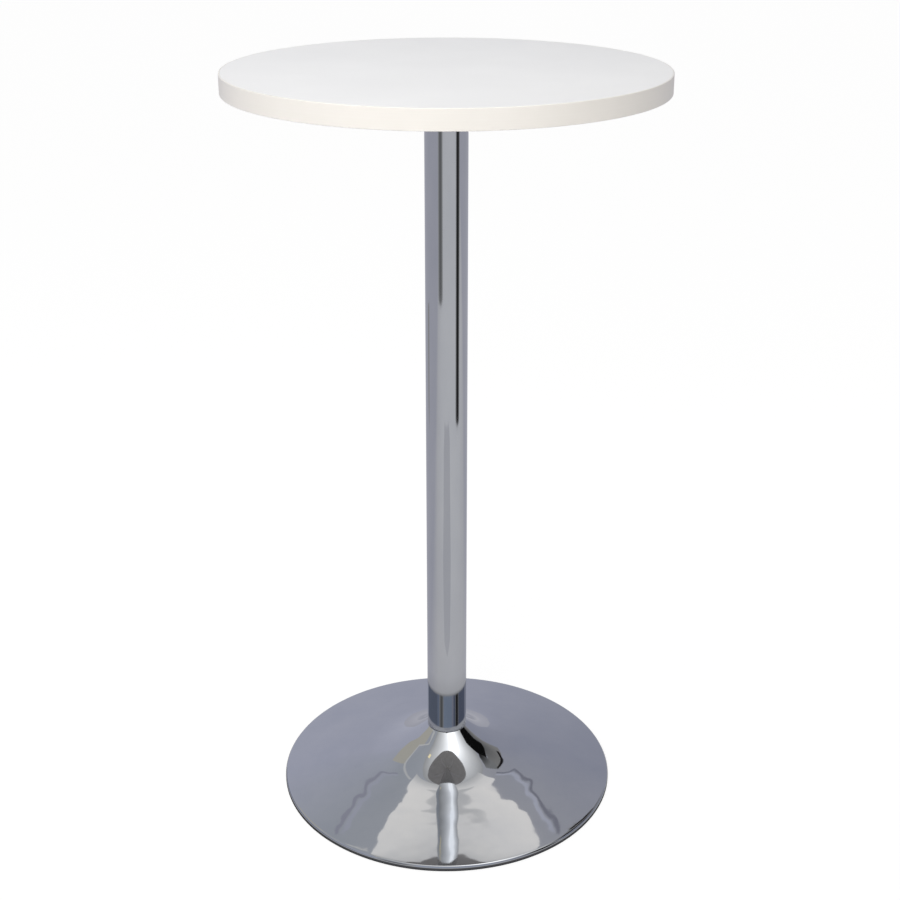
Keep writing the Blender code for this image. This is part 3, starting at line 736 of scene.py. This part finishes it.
def screwMesh(look):
    # a pan-head wood screw, head down, with a cross recess cut into its crown
    seat = look["seat"]
    body = [(0, seat + look["length"]), (look["core"] * 0.5, seat + look["length"] - 1.6),
            (look["core"], seat + look["length"] - 4),
            (look["core"], seat + 0.2), (look["shank"], seat)]
    crown = []
    for s in range(11):
        a = s / 10 * math.pi / 2
        crown.append((look["head"] * math.cos(a), seat - look["headHeight"] * math.sin(a) ** 0.8))
    outline = body + crown[:-1] + [(0, seat - look["headHeight"])]
    mesh = turned("screwBlank", outline, zincPlated, 24, 35, False)
    blank = bpy.data.objects.new("screwBlank", mesh)
    bpy.context.scene.collection.objects.link(blank)
    cutters = []
    for angle in (0, math.pi / 2):
        form = bmesh.new()
        bmesh.ops.create_cube(form, size=1)
        size = Vector((2 * look["crossReach"], look["crossWidth"], 2 * look["crossDepth"])) * mm
        for v in form.verts:
            v.co = Vector((v.co.x * size.x, v.co.y * size.y, v.co.z * size.z))
            if v.co.z > 0:
                v.co.x *= 0.35
                v.co.y *= 0.5
        bmesh.ops.rotate(form, matrix=Matrix.Rotation(angle, 3, "Z"), verts=form.verts)
        bmesh.ops.translate(form, vec=(0, 0, (seat - look["headHeight"]) * mm), verts=form.verts)
        cutMesh = bpy.data.meshes.new("crossCut")
        form.to_mesh(cutMesh)
        form.free()
        cutter = bpy.data.objects.new("crossCut", cutMesh)
        bpy.context.scene.collection.objects.link(cutter)
        cut = blank.modifiers.new("cross", "BOOLEAN")
        cut.operation = "DIFFERENCE"
        cut.solver = "EXACT"
        cut.object = cutter
        cutters.append(cutter)
    graph = bpy.context.evaluated_depsgraph_get()
    made = bpy.data.meshes.new_from_object(blank.evaluated_get(graph), depsgraph=graph)
    for spare in cutters + [blank]:
        bpy.data.objects.remove(spare)
    return made


def makeScrewSetter():
    # sets the start mesh at every screw place on the arms, each turned a little differently
    tree, given, out = newGrower("screwsOnArms", [
        ("Arms", "NodeSocketInt", 4),
        ("Inner Radius", "NodeSocketFloat", 0.095),
        ("Outer Radius", "NodeSocketFloat", 0.195),
        ("First Angle", "NodeSocketFloat", 0.0),
        ("Seed", "NodeSocketInt", 7),
        ("Finish", "NodeSocketMaterial", None),
    ])
    total = calc(tree, "MULTIPLY", given.outputs["Arms"], 2.0)
    index = put(tree, "GeometryNodeInputIndex").outputs[0]
    arm = calc(tree, "DIVIDE", index, 2.0)
    arm = calc(tree, "FLOOR", arm)
    outerOne = calc(tree, "MODULO", index, 2.0)
    reach = put(tree, "ShaderNodeMix",
                {"Factor": outerOne, 2: given.outputs["Inner Radius"], 3: given.outputs["Outer Radius"]},
                data_type="FLOAT").outputs[0]
    step = calc(tree, "DIVIDE", turn, given.outputs["Arms"])
    angle = calc(tree, "MULTIPLY", arm, step)
    angle = calc(tree, "ADD", angle, given.outputs["First Angle"])
    x = calc(tree, "COSINE", angle)
    y = calc(tree, "SINE", angle)
    ray = put(tree, "ShaderNodeCombineXYZ", {"X": x, "Y": y}).outputs[0]
    spot = put(tree, "ShaderNodeVectorMath", {0: ray, "Scale": reach}, operation="SCALE").outputs[0]
    points = put(tree, "GeometryNodePoints", {"Count": total, "Position": spot})
    twist = put(tree, "FunctionNodeRandomValue",
                {2: 0.0, 3: math.pi / 2, "ID": index, "Seed": given.outputs["Seed"]},
                data_type="FLOAT").outputs[1]
    spin = put(tree, "ShaderNodeCombineXYZ", {"Z": twist}).outputs[0]
    copies = put(tree, "GeometryNodeInstanceOnPoints",
                 {"Points": points.outputs[0], "Instance": given.outputs["Geometry"], "Rotation": spin})
    finishGrower(tree, given, out, copies.outputs[0])
    return tree


screwSetter = makeScrewSetter()
screwsMesh = grow("woodScrews", screwSetter, {
    "Arms": spider["arms"], "Inner Radius": spider["screwRadii"][0] * mm,
    "Outer Radius": spider["screwRadii"][1] * mm,
    "First Angle": spider["firstAngle"], "Seed": 7, "Finish": zincPlated,
}, screwMesh(screw))
setPiece("woodScrews", tidyMesh(screwsMesh, 35), zincPlated, "zinc",
         *[f"wood_screw_{n}" for n in range(1, 9)])
print("spider done")

# column
column = {
    "radius": outer("column_tube"), "wall": 1.5, "edge": 0.4, "boreEdge": 0.3,
    "foot": low("column_tube"), "head": high("column_tube"),
}
bore = column["radius"] - column["wall"]
tube = rolled([
    (bore, column["head"], column["boreEdge"]),
    (column["radius"], column["head"], column["edge"]),
    (column["radius"], column["foot"], column["edge"]),
    (bore, column["foot"], column["boreEdge"]),
], 6)
setPiece("chromeColumn", turned("chromeColumn", tube, tubeChrome, 256), tubeChrome, "chrome", "column_tube")
print("column done")

# base
base = {
    "radius": outer("base_cover"), "wall": 1.5, "top": high("base_cover"),
    "hole": 20, "neck": 31.0, "neckCorner": 1.0,
    "bellSlope": 36.5, "flangeSlope": 12.6, "hollowShare": 0.64,
    "rimTop": 6.5, "rimRounding": 4, "hemRounding": 2.5, "hemHeight": 1,
    # the flange bows up a little, and bends down before the rim
    "droopStart": 237, "droopRun": 60, "droop": 0.13,
    # a faint raised ring, and the sheet's slow waves
    "swellAt": 158, "swellWidth": 10, "swellHeight": 0.12,
    "waveSize": 110, "waveHeight": 0.6,
}


def flangeHeight(look, r):
    # height of the cover's upper face on its conical flange
    flange = math.radians(look["flangeSlope"])
    tangentR = look["radius"] - look["rimRounding"] * (1 - math.sin(flange))
    return look["rimTop"] + look["rimRounding"] * math.cos(flange) + (tangentR - r) * math.tan(flange)


def coverOutline(look):
    # the pressing's upper face from its centre hole to the hem, then its inner face back again
    bell, flange = math.radians(look["bellSlope"]), math.radians(look["flangeSlope"])
    upright = math.pi / 2
    tangentR = look["radius"] - look["rimRounding"] * (1 - math.sin(flange))
    tangentZ = flangeHeight(look, tangentR)
    corner = look["neckCorner"]
    neck = arcPoints((look["neck"] - corner, look["top"] - corner), corner, upright, upright - bell, 8)
    startR, startZ = neck[-1]
    cornerR = startR + (startZ - flangeHeight(look, startR)) / (math.tan(bell) - math.tan(flange))
    reach = look["hollowShare"] * (cornerR - startR)
    hollowR = cornerR - reach
    hollowZ = startZ - (hollowR - startR) * math.tan(bell)
    cone = [(startR + (hollowR - startR) * s / 8, startZ + (hollowZ - startZ) * s / 8) for s in range(1, 8)]
    radius = reach / math.cos(bell) / math.tan((bell - flange) / 2)
    centre = (hollowR + radius * math.sin(bell), hollowZ + radius * math.cos(bell))
    hollow = arcPoints(centre, radius, -upright - bell, -upright - flange, 36)
    endR, endZ = hollow[-1]
    plain = []
    for s in range(1, 48):
        r = endR + (tangentR - endR) * s / 48
        beyond = max(0, (r - look["droopStart"]) / (tangentR - look["droopStart"]))
        bow = look["droop"] * (1 - beyond ** 2) * min(1, (r - endR) / look["droopRun"])
        plain.append((r, endZ + (tangentZ - endZ) * s / 48 + bow))
    rim = arcPoints((look["radius"] - look["rimRounding"], look["rimTop"]), look["rimRounding"],
                    upright - flange, 0, 12)
    hemMiddle = (look["radius"] - look["hemRounding"], look["hemHeight"] + look["hemRounding"])
    hem = arcPoints(hemMiddle, look["hemRounding"], 0, -upright, 8)
    outside = [(look["hole"], look["top"])] + neck + cone + hollow + plain + rim + hem
    inside = []
    for i, (r, z) in enumerate(outside):
        before, after = outside[max(i - 1, 0)], outside[min(i + 1, len(outside) - 1)]
        along = Vector((after[0] - before[0], after[1] - before[1])).normalized()
        inside.append((r + along.y * look["wall"], z - along.x * look["wall"]))
    return outside + inside[::-1]


coverMesh = turned("chromeBaseCover", coverOutline(base), pressedChrome, 320, 40, **{
    "Swell Radius": base["swellAt"] * mm, "Swell Width": base["swellWidth"] * mm,
    "Swell Height": base["swellHeight"] * mm,
    "Wave Size": base["waveSize"] * mm, "Wave Height": base["waveHeight"] * mm,
})
setPiece("chromeBaseCover", coverMesh, pressedChrome, "chrome", "base_cover")

ballast = {
    "radius": outer("ballast"), "bottom": low("ballast"), "bossTop": high("ballast"),
    "recess": 30, "rodHole": 6.6, "recessDepth": 21, "bossFoot": 44, "bossHead": 40, "shoulder": 88,
    "underCover": 5, "corner": 2.5, "fillet": 4, "lump": 0.35, "lumpSize": 22,
}


def castingOutline(look, cover):
    # the boss stands on a flat shoulder, and the top slopes down from it under the cover's flange
    def topAt(r):
        slope = math.radians(cover["flangeSlope"])
        return flangeHeight(cover, r) - cover["wall"] / math.cos(slope) - look["underCover"]

    ceiling = look["bottom"] + look["recessDepth"]
    return rolled([
        (look["recess"], look["bottom"], look["corner"]),
        (look["recess"], ceiling, look["fillet"] / 2),
        (look["rodHole"], ceiling, 0.6),
        (look["rodHole"], look["bossTop"], 0.6),
        (look["bossHead"], look["bossTop"], 1.2),
        (look["bossFoot"], topAt(look["shoulder"]), look["fillet"] / 2),
        (look["shoulder"], topAt(look["shoulder"]), look["fillet"]),
        (look["radius"], topAt(look["radius"]), look["corner"]),
        (look["radius"], look["bottom"], look["corner"]),
    ], 5)


ballastMesh = turned("ballastCasting", castingOutline(ballast, base), castIron, 160, 40,
                     **{"Wave Size": ballast["lumpSize"] * mm, "Wave Height": ballast["lump"] * mm})
setPiece("ballastCasting", ballastMesh, castIron, "ballast_iron", "ballast")


def ringOutline(node, inner, corner, steps=4):
    # a plain ring's section, from the frame's heights and radius, with every corner rolled
    return rolled([(inner, high(node), corner), (outer(node), high(node), corner),
                   (outer(node), low(node), corner), (inner, low(node), corner)], steps)


supportTube = {"wall": 2.5, "edge": 0.5}
supportOutline = ringOutline("support_tube", outer("support_tube") - supportTube["wall"],
                             supportTube["edge"])
setPiece("supportTube", turned("supportTube", supportOutline, zincPlated, 96), zincPlated, "zinc",
         "support_tube")
footPlug = {"bore": 6.6, "edge": 1.0}
plugOutline = ringOutline("column_foot_plug", footPlug["bore"], footPlug["edge"])
setPiece("footPlug", turned("footPlug", plugOutline, zincPlated, 96), zincPlated, "zinc",
         "column_foot_plug")

floorRing = {"width": 6, "corner": 1.0, "grooveWidth": 1.0, "grooveDepth": 0.8, "grooves": 2}


def gripOutline(look):
    # the ring's section: two grooves in the foot leave three lips that grip the floor
    right, top, foot = outer("floor_ring"), high("floor_ring"), low("floor_ring")
    left = right - look["width"]
    corners = [(left, top, look["corner"]), (right, top, look["corner"]), (right, foot, 0.6)]
    pitch = look["width"] / (look["grooves"] + 1)
    half = look["grooveWidth"] / 2
    for k in range(look["grooves"]):
        at = right - pitch * (k + 1)
        corners += [(at + half, foot, 0.2), (at + half * 0.6, foot + look["grooveDepth"], 0.15),
                    (at - half * 0.6, foot + look["grooveDepth"], 0.15), (at - half, foot, 0.2)]
    return rolled(corners + [(left, foot, 0.6)], 3)


setPiece("floorRing", turned("floorRing", gripOutline(floorRing), rubber, 240), rubber, "floor_rubber",
         "floor_ring")
print("base done")

# the rod that clamps the table together, with its nuts and washers
rod = {
    "radius": 6, "threadDepth": 0.9, "threadPitch": 1.75,
    # the plain shank is a little thinner than the crests
    "upperThread": 42, "lowerThread": 48, "neck": 0.35,
}
rodLow, rodHigh = low("tie_rod"), high("tie_rod")
threads = []
for start, length in ((rodLow, rod["lowerThread"]), (rodHigh - rod["upperThread"], rod["upperThread"])):
    threads.append(grow("rodThread", threader, {
        "Radius": rod["radius"] * mm, "Depth": rod["threadDepth"] * mm, "Pitch": rod["threadPitch"] * mm,
        "Low": start * mm, "Length": length * mm, "Sides": 36, "Finish": zincPlated,
    }))
shankOutline = [(0, rodHigh - rod["upperThread"] + 1),
                (rod["radius"] - rod["neck"], rodHigh - rod["upperThread"] + 1),
                (rod["radius"] - rod["neck"], rodLow + rod["lowerThread"] - 1),
                (0, rodLow + rod["lowerThread"] - 1)]
shankMesh = turned("rodShank", shankOutline, zincPlated, 36, 40, False)
setPiece("tieRod", tidyMesh(joinMeshes("tieRod", shankMesh, *threads), 50), zincPlated, "zinc", "tie_rod")

nut = {"bore": 6.3, "flat": 9.5, "faceShare": 0.97, "chamferAngle": 30, "boreChamfer": 0.7, "sides": 72}


def nutMesh(name, look, bottom, top):
    # a hexagon nut: six flats, a chamfer that leaves round faces, and a countersunk bore
    form = bmesh.new()
    columns = []
    fall = math.tan(math.radians(look["chamferAngle"]))
    face = look["flat"] * look["faceShare"]
    for k in range(look["sides"]):
        angle = turn * k / look["sides"]
        hexagon = look["flat"] / math.cos((angle + turn / 12) % (turn / 6) - turn / 12)
        drop = (hexagon - face) * fall
        inner, mouth = look["bore"], look["bore"] + look["boreChamfer"]
        chain = [(inner, bottom + look["boreChamfer"]), (mouth, bottom),
                 (face, bottom), (hexagon, bottom + drop), (hexagon, top - drop), (face, top),
                 (mouth, top), (inner, top - look["boreChamfer"])]
        across, along = math.cos(angle) * mm, math.sin(angle) * mm
        columns.append([form.verts.new((r * across, r * along, z * mm)) for r, z in chain])
    for k, column in enumerate(columns):
        after = columns[(k + 1) % len(columns)]
        for j in range(len(column)):
            upper = (j + 1) % len(column)
            form.faces.new((column[j], after[j], after[upper], column[upper]))
    mesh = bpy.data.meshes.new(name)
    form.to_mesh(mesh)
    form.free()
    mesh.materials.append(zincPlated)
    return tidyMesh(mesh, 24)


for name, node in (("topNut", "top_nut"), ("bottomNut", "bottom_nut")):
    setPiece(name, nutMesh(name, nut, low(node), high(node)), zincPlated, "zinc", node)

washer = {"bore": 6.3, "edge": 0.35}
for name, node in (("topWasher", "top_washer"), ("clampWasher", "clamp_washer")):
    washerMesh = turned(name, ringOutline(node, washer["bore"], washer["edge"]), zincPlated, 96)
    setPiece(name, washerMesh, zincPlated, "zinc", node)

springWasher = {"bore": 6.3, "edge": 0.4, "gap": 1.6, "rise": 0.25}
springRadius = outer("spring_washer")
springTop, springFoot = high("spring_washer") - springWasher["rise"], low("spring_washer")
springOutline = rolled([(springWasher["bore"], springTop, springWasher["edge"]),
                        (springRadius, springTop, springWasher["edge"]),
                        (springRadius, springFoot, springWasher["edge"]),
                        (springWasher["bore"], springFoot, springWasher["edge"])], 4)
springMesh = grow("springWasher", stripMaker, {
    "Radius": springRadius * mm, "Gap": springWasher["gap"] * mm, "Seam Angle": math.pi / 2,
    "Pitch": springWasher["rise"] * mm,
    "Steps": 72, "Finish": zincPlated,
}, sectionMesh("springWasherSection", springOutline, springRadius))
setPiece("springWasher", tidyMesh(springMesh), zincPlated, "zinc", "spring_washer")
print("hardware done")


# the studio: cards that only reflections see, two soft lights, and a room that fades between two greys
def stageCard(name, corners, glow, strength):
    # a flat emitting card; glow is a colour, or a function that makes one from the card's own coordinates
    mesh = bpy.data.meshes.new(name)
    mesh.from_pydata(corners, [], [tuple(range(len(corners)))])
    card = bpy.data.objects.new(name, mesh)
    bpy.context.scene.collection.objects.link(card)
    made = bpy.data.materials.new(name)
    made.use_nodes = True
    tree = made.node_tree
    tree.nodes.clear()
    colour = glow(tree) if callable(glow) else glow
    light = put(tree, "ShaderNodeEmission", {"Color": colour, "Strength": strength})
    put(tree, "ShaderNodeOutputMaterial", {"Surface": light.outputs[0]})
    mesh.materials.append(made)
    card.visible_camera = False
    card.visible_shadow = False
    card.visible_diffuse = False
    return card


def ellipse(centre, reach, count=48):
    points = []
    for k in range(count):
        a = turn * k / count
        points.append((centre[0] + reach[0] * math.cos(a), centre[1] + reach[1] * math.sin(a)))
    return points


def ceilingCard(name, outline, glow, strength, height=2.2):
    return stageCard(name, [(x, y, height) for x, y in outline], glow, strength)


def standingCard(name, azimuth, distance, wide, foot, head, glow, strength=1.0):
    # azimuth in degrees from +Y towards +X
    a = math.radians(azimuth)
    middle = Vector((math.sin(a), math.cos(a), 0)) * distance
    side = Vector((math.cos(a), -math.sin(a), 0)) * wide / 2
    up = Vector((0, 0, 1))
    corners = [middle - side + up * foot, middle + side + up * foot,
               middle + side + up * head, middle - side + up * head]
    return stageCard(name, [tuple(corner) for corner in corners], glow, strength)


def fadingFrom(centre, reach, stops):
    # a glow that fades with distance from a centre, measured in reaches along X and Y
    def glow(tree):
        where = put(tree, "ShaderNodeTexCoord").outputs["Object"]
        scale = (1 / reach[0], 1 / reach[1], 0)
        shift = (-centre[0] / reach[0], -centre[1] / reach[1], 0)
        placed = put(tree, "ShaderNodeMapping",
                     {"Vector": where, "Scale": scale, "Location": shift}).outputs[0]
        away = put(tree, "ShaderNodeVectorMath", {0: placed}, operation="LENGTH").outputs["Value"]
        return ramp(tree, away, stops)
    return glow


def grey(level, warm=0.0):
    return [level * (1 + warm), level, level * (1 - warm), 1]


def softLight(name, place, aim, size, watts, colour):
    lamp = bpy.data.lights.new(name, "AREA")
    lamp.shape = "DISK"
    lamp.size = size
    lamp.energy = watts
    lamp.color = colour
    holder = bpy.data.objects.new(name, lamp)
    bpy.context.scene.collection.objects.link(holder)
    holder.location = place
    holder.rotation_euler = (Vector(aim) - Vector(place)).to_track_quat("-Z", "Y").to_euler()
    holder.visible_glossy = False
    return holder


# the floor is near white to the camera, and a greyer one lies just under it for the chrome to mirror
floorMesh = bpy.data.meshes.new("paleFloor")
floorMesh.from_pydata([(-20, -20, 0), (20, -20, 0), (20, 20, 0), (-20, 20, 0)], [], [(0, 1, 2, 3)])
floor = bpy.data.objects.new("paleFloor", floorMesh)
bpy.context.scene.collection.objects.link(floor)
floorPaint = newFinish("paleFloorPaint", Base_Color=grey(0.15), Roughness=0.9, Specular_IOR_Level=0.0,
                       Emission_Color=grey(1.0), Emission_Strength=0.9)[0]
floorMesh.materials.append(floorPaint)
floor.visible_glossy = False
floor.visible_diffuse = False


def mirroredGlow(tree):
    # brighter in front and to the right, dark in the contact shadow right round the base
    wide = fadingFrom((1.2, -3.6), (3.6, 4.2), [
        (0.5, [0.70, 0.70, 0.72, 1]), (0.75, [0.68, 0.68, 0.70, 1]),
        (0.9, [0.63, 0.625, 0.645, 1]), (1.05, [0.50, 0.50, 0.56, 1])])(tree)
    near = fadingFrom((0, 0), (0.5, 0.5), [
        (0.51, grey(0.08)), (0.535, grey(0.22)), (0.56, grey(0.85)), (0.66, grey(1.0))])(tree)
    both = put(tree, "ShaderNodeMix", {"Factor": 1.0, 6: wide, 7: near},
               data_type="RGBA", blend_type="MULTIPLY")
    return both.outputs[2]


mirroredEdge = [(-16, -16), (16, -16), (16, 16), (-16, 16)]
mirrored = ceilingCard("mirroredFloor", mirroredEdge, mirroredGlow, 1.0, -0.002)
mirrored.visible_diffuse = True
floorInFrontEdge = [
    (-0.10, -0.44), (0.02, -0.40), (0.14, -0.44), (0.30, -0.72), (0.42, -1.35),
    (0.30, -1.5), (-0.30, -1.5), (-0.36, -1.3), (-0.26, -0.72)]
ceilingCard("floorInFront", floorInFrontEdge, [0.55, 0.55, 0.58, 1], 1.0, -0.001)
floorAtLeftEdge = [(-1.35, 0.50), (-1.45, 0.78), (-2.2, 1.2), (-2.4, 0.72)]
ceilingCard("floorAtLeft", floorAtLeftEdge, [0.36, 0.35, 0.35, 1], 1.0, -0.001)

softbox = {"centre": (0.55, -0.6), "reach": (1.8, 1.5)}
softboxGlow = fadingFrom(softbox["centre"], softbox["reach"], [
    (0.0, grey(1.0)), (0.2, grey(1.0)), (0.27, grey(0.74)), (0.5, grey(0.50)),
    (0.68, grey(0.37)), (0.8, grey(0.31)), (1.0, grey(0.2))])
ceilingCard("softbox", ellipse(softbox["centre"], softbox["reach"]), softboxGlow, 2.3, 2.21)
creamGlow = fadingFrom((0, 0.5), (9, 0.8), [
    (0.25, grey(0.62, 0.01)), (0.45, grey(0.76, 0.02)), (0.62, grey(0.90, 0.03)), (1.0, grey(0.98, 0.04))])
creamEdge = [(-0.74, 0.70), (0.80, 0.70), (0.77, 1.36), (0.62, 1.38), (-0.53, 1.27)]
ceilingCard("creamPanel", creamEdge, creamGlow, 1.05)

blackFlagEdge = [
    (1.74, -0.10), (2.9, -0.2), (3.4, 1.1), (2.75, 1.45), (2.5, 1.85), (1.78, 1.32),
    (1.50, 1.16), (1.56, 0.80), (1.70, 0.30)]
ceilingCard("blackFlag", blackFlagEdge, grey(0.006), 1.0, 2.195)
greyFlagEdge = [
    (1.30, 1.12), (1.78, 1.32), (2.5, 1.85), (2.75, 1.45), (3.4, 1.1), (3.9, 2.2),
    (2.2, 2.9), (1.5, 2.0), (1.06, 1.45)]
greyFlagGlow = fadingFrom((2.4, 1.2), (1.4, 1.6), [(0.2, grey(0.13)), (0.9, grey(0.30, 0.03))])
ceilingCard("greyFlag", greyFlagEdge, greyFlagGlow, 1.0, 2.19)
thinRailEdge = [(1.08, 1.44), (1.46, 2.00), (1.92, 2.42), (1.98, 2.34), (1.53, 1.93), (1.14, 1.42)]
ceilingCard("thinRail", thinRailEdge, grey(0.01), 1.0, 2.18)
paleEdgeEdge = [
    (-1.55, -0.12), (-1.86, 0.36), (-2.10, 0.82), (-1.72, 1.02), (-1.28, 1.18), (-0.66, 1.06),
    (-0.66, 0.98), (-1.26, 1.08), (-1.66, 0.92), (-1.98, 0.76), (-1.76, 0.32), (-1.47, -0.10)]
ceilingCard("paleEdge", paleEdgeEdge, grey(0.66, 0.01), 1.0, 2.19)
warmWallEdge = [
    (-1.86, 0.36), (-2.10, 0.82), (-1.72, 1.02), (-1.30, 1.18), (-1.5, 1.9),
    (-2.9, 2.6), (-3.2, 0.6), (-2.2, -0.2)]
ceilingCard("warmWall", warmWallEdge, [0.56, 0.535, 0.47, 1], 1.0, 2.22)
warmLampEdge = [(-0.96, -0.10), (-0.84, -0.12), (-0.82, 0.02), (-0.95, 0.05)]
ceilingCard("warmLamp", warmLampEdge, [1.0, 0.86, 0.52, 1], 1.3, 2.18)
for side, dark, pale in ((-1, 0.37, 0.49), (1, 0.26, 0.56)):
    rail = [(0.94, 1.36), (0.97, 2.1), (1.01, 2.1), (0.98, 1.36)]
    ceilingCard("darkRail", [(side * x, y) for x, y in rail], [dark, dark, dark * 1.19, 1], 1.0, 2.19)
    ceilingCard("paleRail", [(side * (x - 0.055), y) for x, y in rail], [pale, pale * 1.02, pale * 1.18, 1],
                1.0, 2.19)
flagTipEdge = [
    (1.06, 0.95), (1.22, 0.86), (1.40, 0.76), (1.60, 0.80), (1.56, 1.10), (1.36, 1.42), (1.08, 1.46)]
flagTipGlow = fadingFrom((1.66, 0.74), (0.6, 0.6), [
    (0.0, grey(0.01)), (0.35, grey(0.03)), (0.7, grey(0.14)), (1.1, grey(0.26))])
ceilingCard("flagTip", flagTipEdge, flagTipGlow, 1.0, 2.185)
dimPatch = {"centre": (0.06, 1.055), "reach": (0.36, 0.075)}
dimPatchGlow = fadingFrom(dimPatch["centre"], dimPatch["reach"], [
    (0.0, grey(0.66, 0.01)), (0.6, grey(0.68, 0.01)), (0.85, grey(0.76, 0.02)), (1.0, grey(0.88, 0.03))])
ceilingCard("dimPatch", ellipse(dimPatch["centre"], dimPatch["reach"], 32), dimPatchGlow, 1.0, 2.19)

# walls and posts that stand round the table
rightPostGlow = fadingFrom((1.318, -0.716), (0.30, 0.30),
                           [(0.0, grey(0.012)), (0.35, grey(0.03)), (1.0, grey(0.34))])
standingCard("rightPost", 118.5, 1.5, 0.60, 0.0, 1.6, rightPostGlow)
leftPostGlow = fadingFrom((-1.320, -2.123), (0.55, 0.55),
                          [(0.0, grey(0.17)), (0.4, grey(0.20)), (1.0, grey(0.48))])
standingCard("leftPost", -148.1, 2.5, 1.08, 0.0, 1.6, leftPostGlow)
standingCard("roomBehind", 180, 8.0, 9.0, 0.0, 3.2, [0.36, 0.42, 0.53, 1])
standingCard("roomBehindLeft", -142, 8.4, 8.0, 0.0, 3.2, [0.27, 0.31, 0.41, 1])
standingCard("roomLeft", -84, 7.0, 14.0, 0.0, 2.6, [0.20, 0.225, 0.29, 1])
standingCard("roomRight", 96, 7.2, 14.0, 0.0, 2.6, [0.17, 0.19, 0.26, 1])
softLight("keyLight", (-0.62, -2.65, 2.1), (0, 0, 1.0), 1.2, 37, (1, 0.98, 0.955))
softLight("topLight", (-0.7, -0.5, 2.9), (0, 0, 1.1), 1.6, 14, (0.985, 1.0, 1.0))

world = bpy.data.worlds.new("studio")
bpy.context.scene.world = world
world.use_nodes = True
sky = world.node_tree
background = sky.nodes["Background"]
direction = put(sky, "ShaderNodeTexCoord").outputs["Generated"]
split = put(sky, "ShaderNodeSeparateXYZ", {0: direction})
leftSide = ramp(sky, split.outputs["Z"], [
    (0.0, [0.56, 0.57, 0.67, 1]), (0.5, [0.54, 0.55, 0.65, 1]),
    (0.8, [0.45, 0.47, 0.51, 1]), (1.0, [0.50, 0.52, 0.56, 1])])
rightSide = ramp(sky, split.outputs["Z"], [
    (0.0, [0.39, 0.40, 0.48, 1]), (0.5, [0.39, 0.40, 0.48, 1]),
    (0.8, [0.46, 0.46, 0.50, 1]), (1.0, [0.55, 0.55, 0.57, 1])])
across = put(sky, "ShaderNodeMapRange", {"Value": split.outputs["X"], "From Min": -0.35, "From Max": 0.35})
room = put(sky, "ShaderNodeMix", {"Factor": across.outputs["Result"], 6: leftSide, 7: rightSide},
           data_type="RGBA")
rays = put(sky, "ShaderNodeLightPath")
litFromAbove = ramp(sky, split.outputs["Z"],
                    [(0.1, [0.585, 0.545, 0.49, 1]), (0.6, [0.57, 0.57, 0.575, 1])])
lit = put(sky, "ShaderNodeMix",
          {"Factor": rays.outputs["Is Diffuse Ray"], 6: room.outputs[2], 7: litFromAbove}, data_type="RGBA")
seen = put(sky, "ShaderNodeMix",
           {"Factor": rays.outputs["Is Camera Ray"], 6: lit.outputs[2], 7: [1, 1, 1, 1]}, data_type="RGBA")
sky.links.new(seen.outputs[2], background.inputs["Color"])

camera = bpy.data.objects.new("camera", bpy.data.cameras.new("camera"))
bpy.context.scene.collection.objects.link(camera)
camera.location = (0.0049, -2.0046, 1.4037)
camera.rotation_euler = (math.pi / 2 - 0.3693, 0, 0)
camera.data.sensor_width = 36
camera.data.lens = 59.70
camera.data.shift_y = -0.0556
bpy.context.scene.camera = camera
bpy.context.scene.view_settings.view_transform = "Standard"
print("studio done")
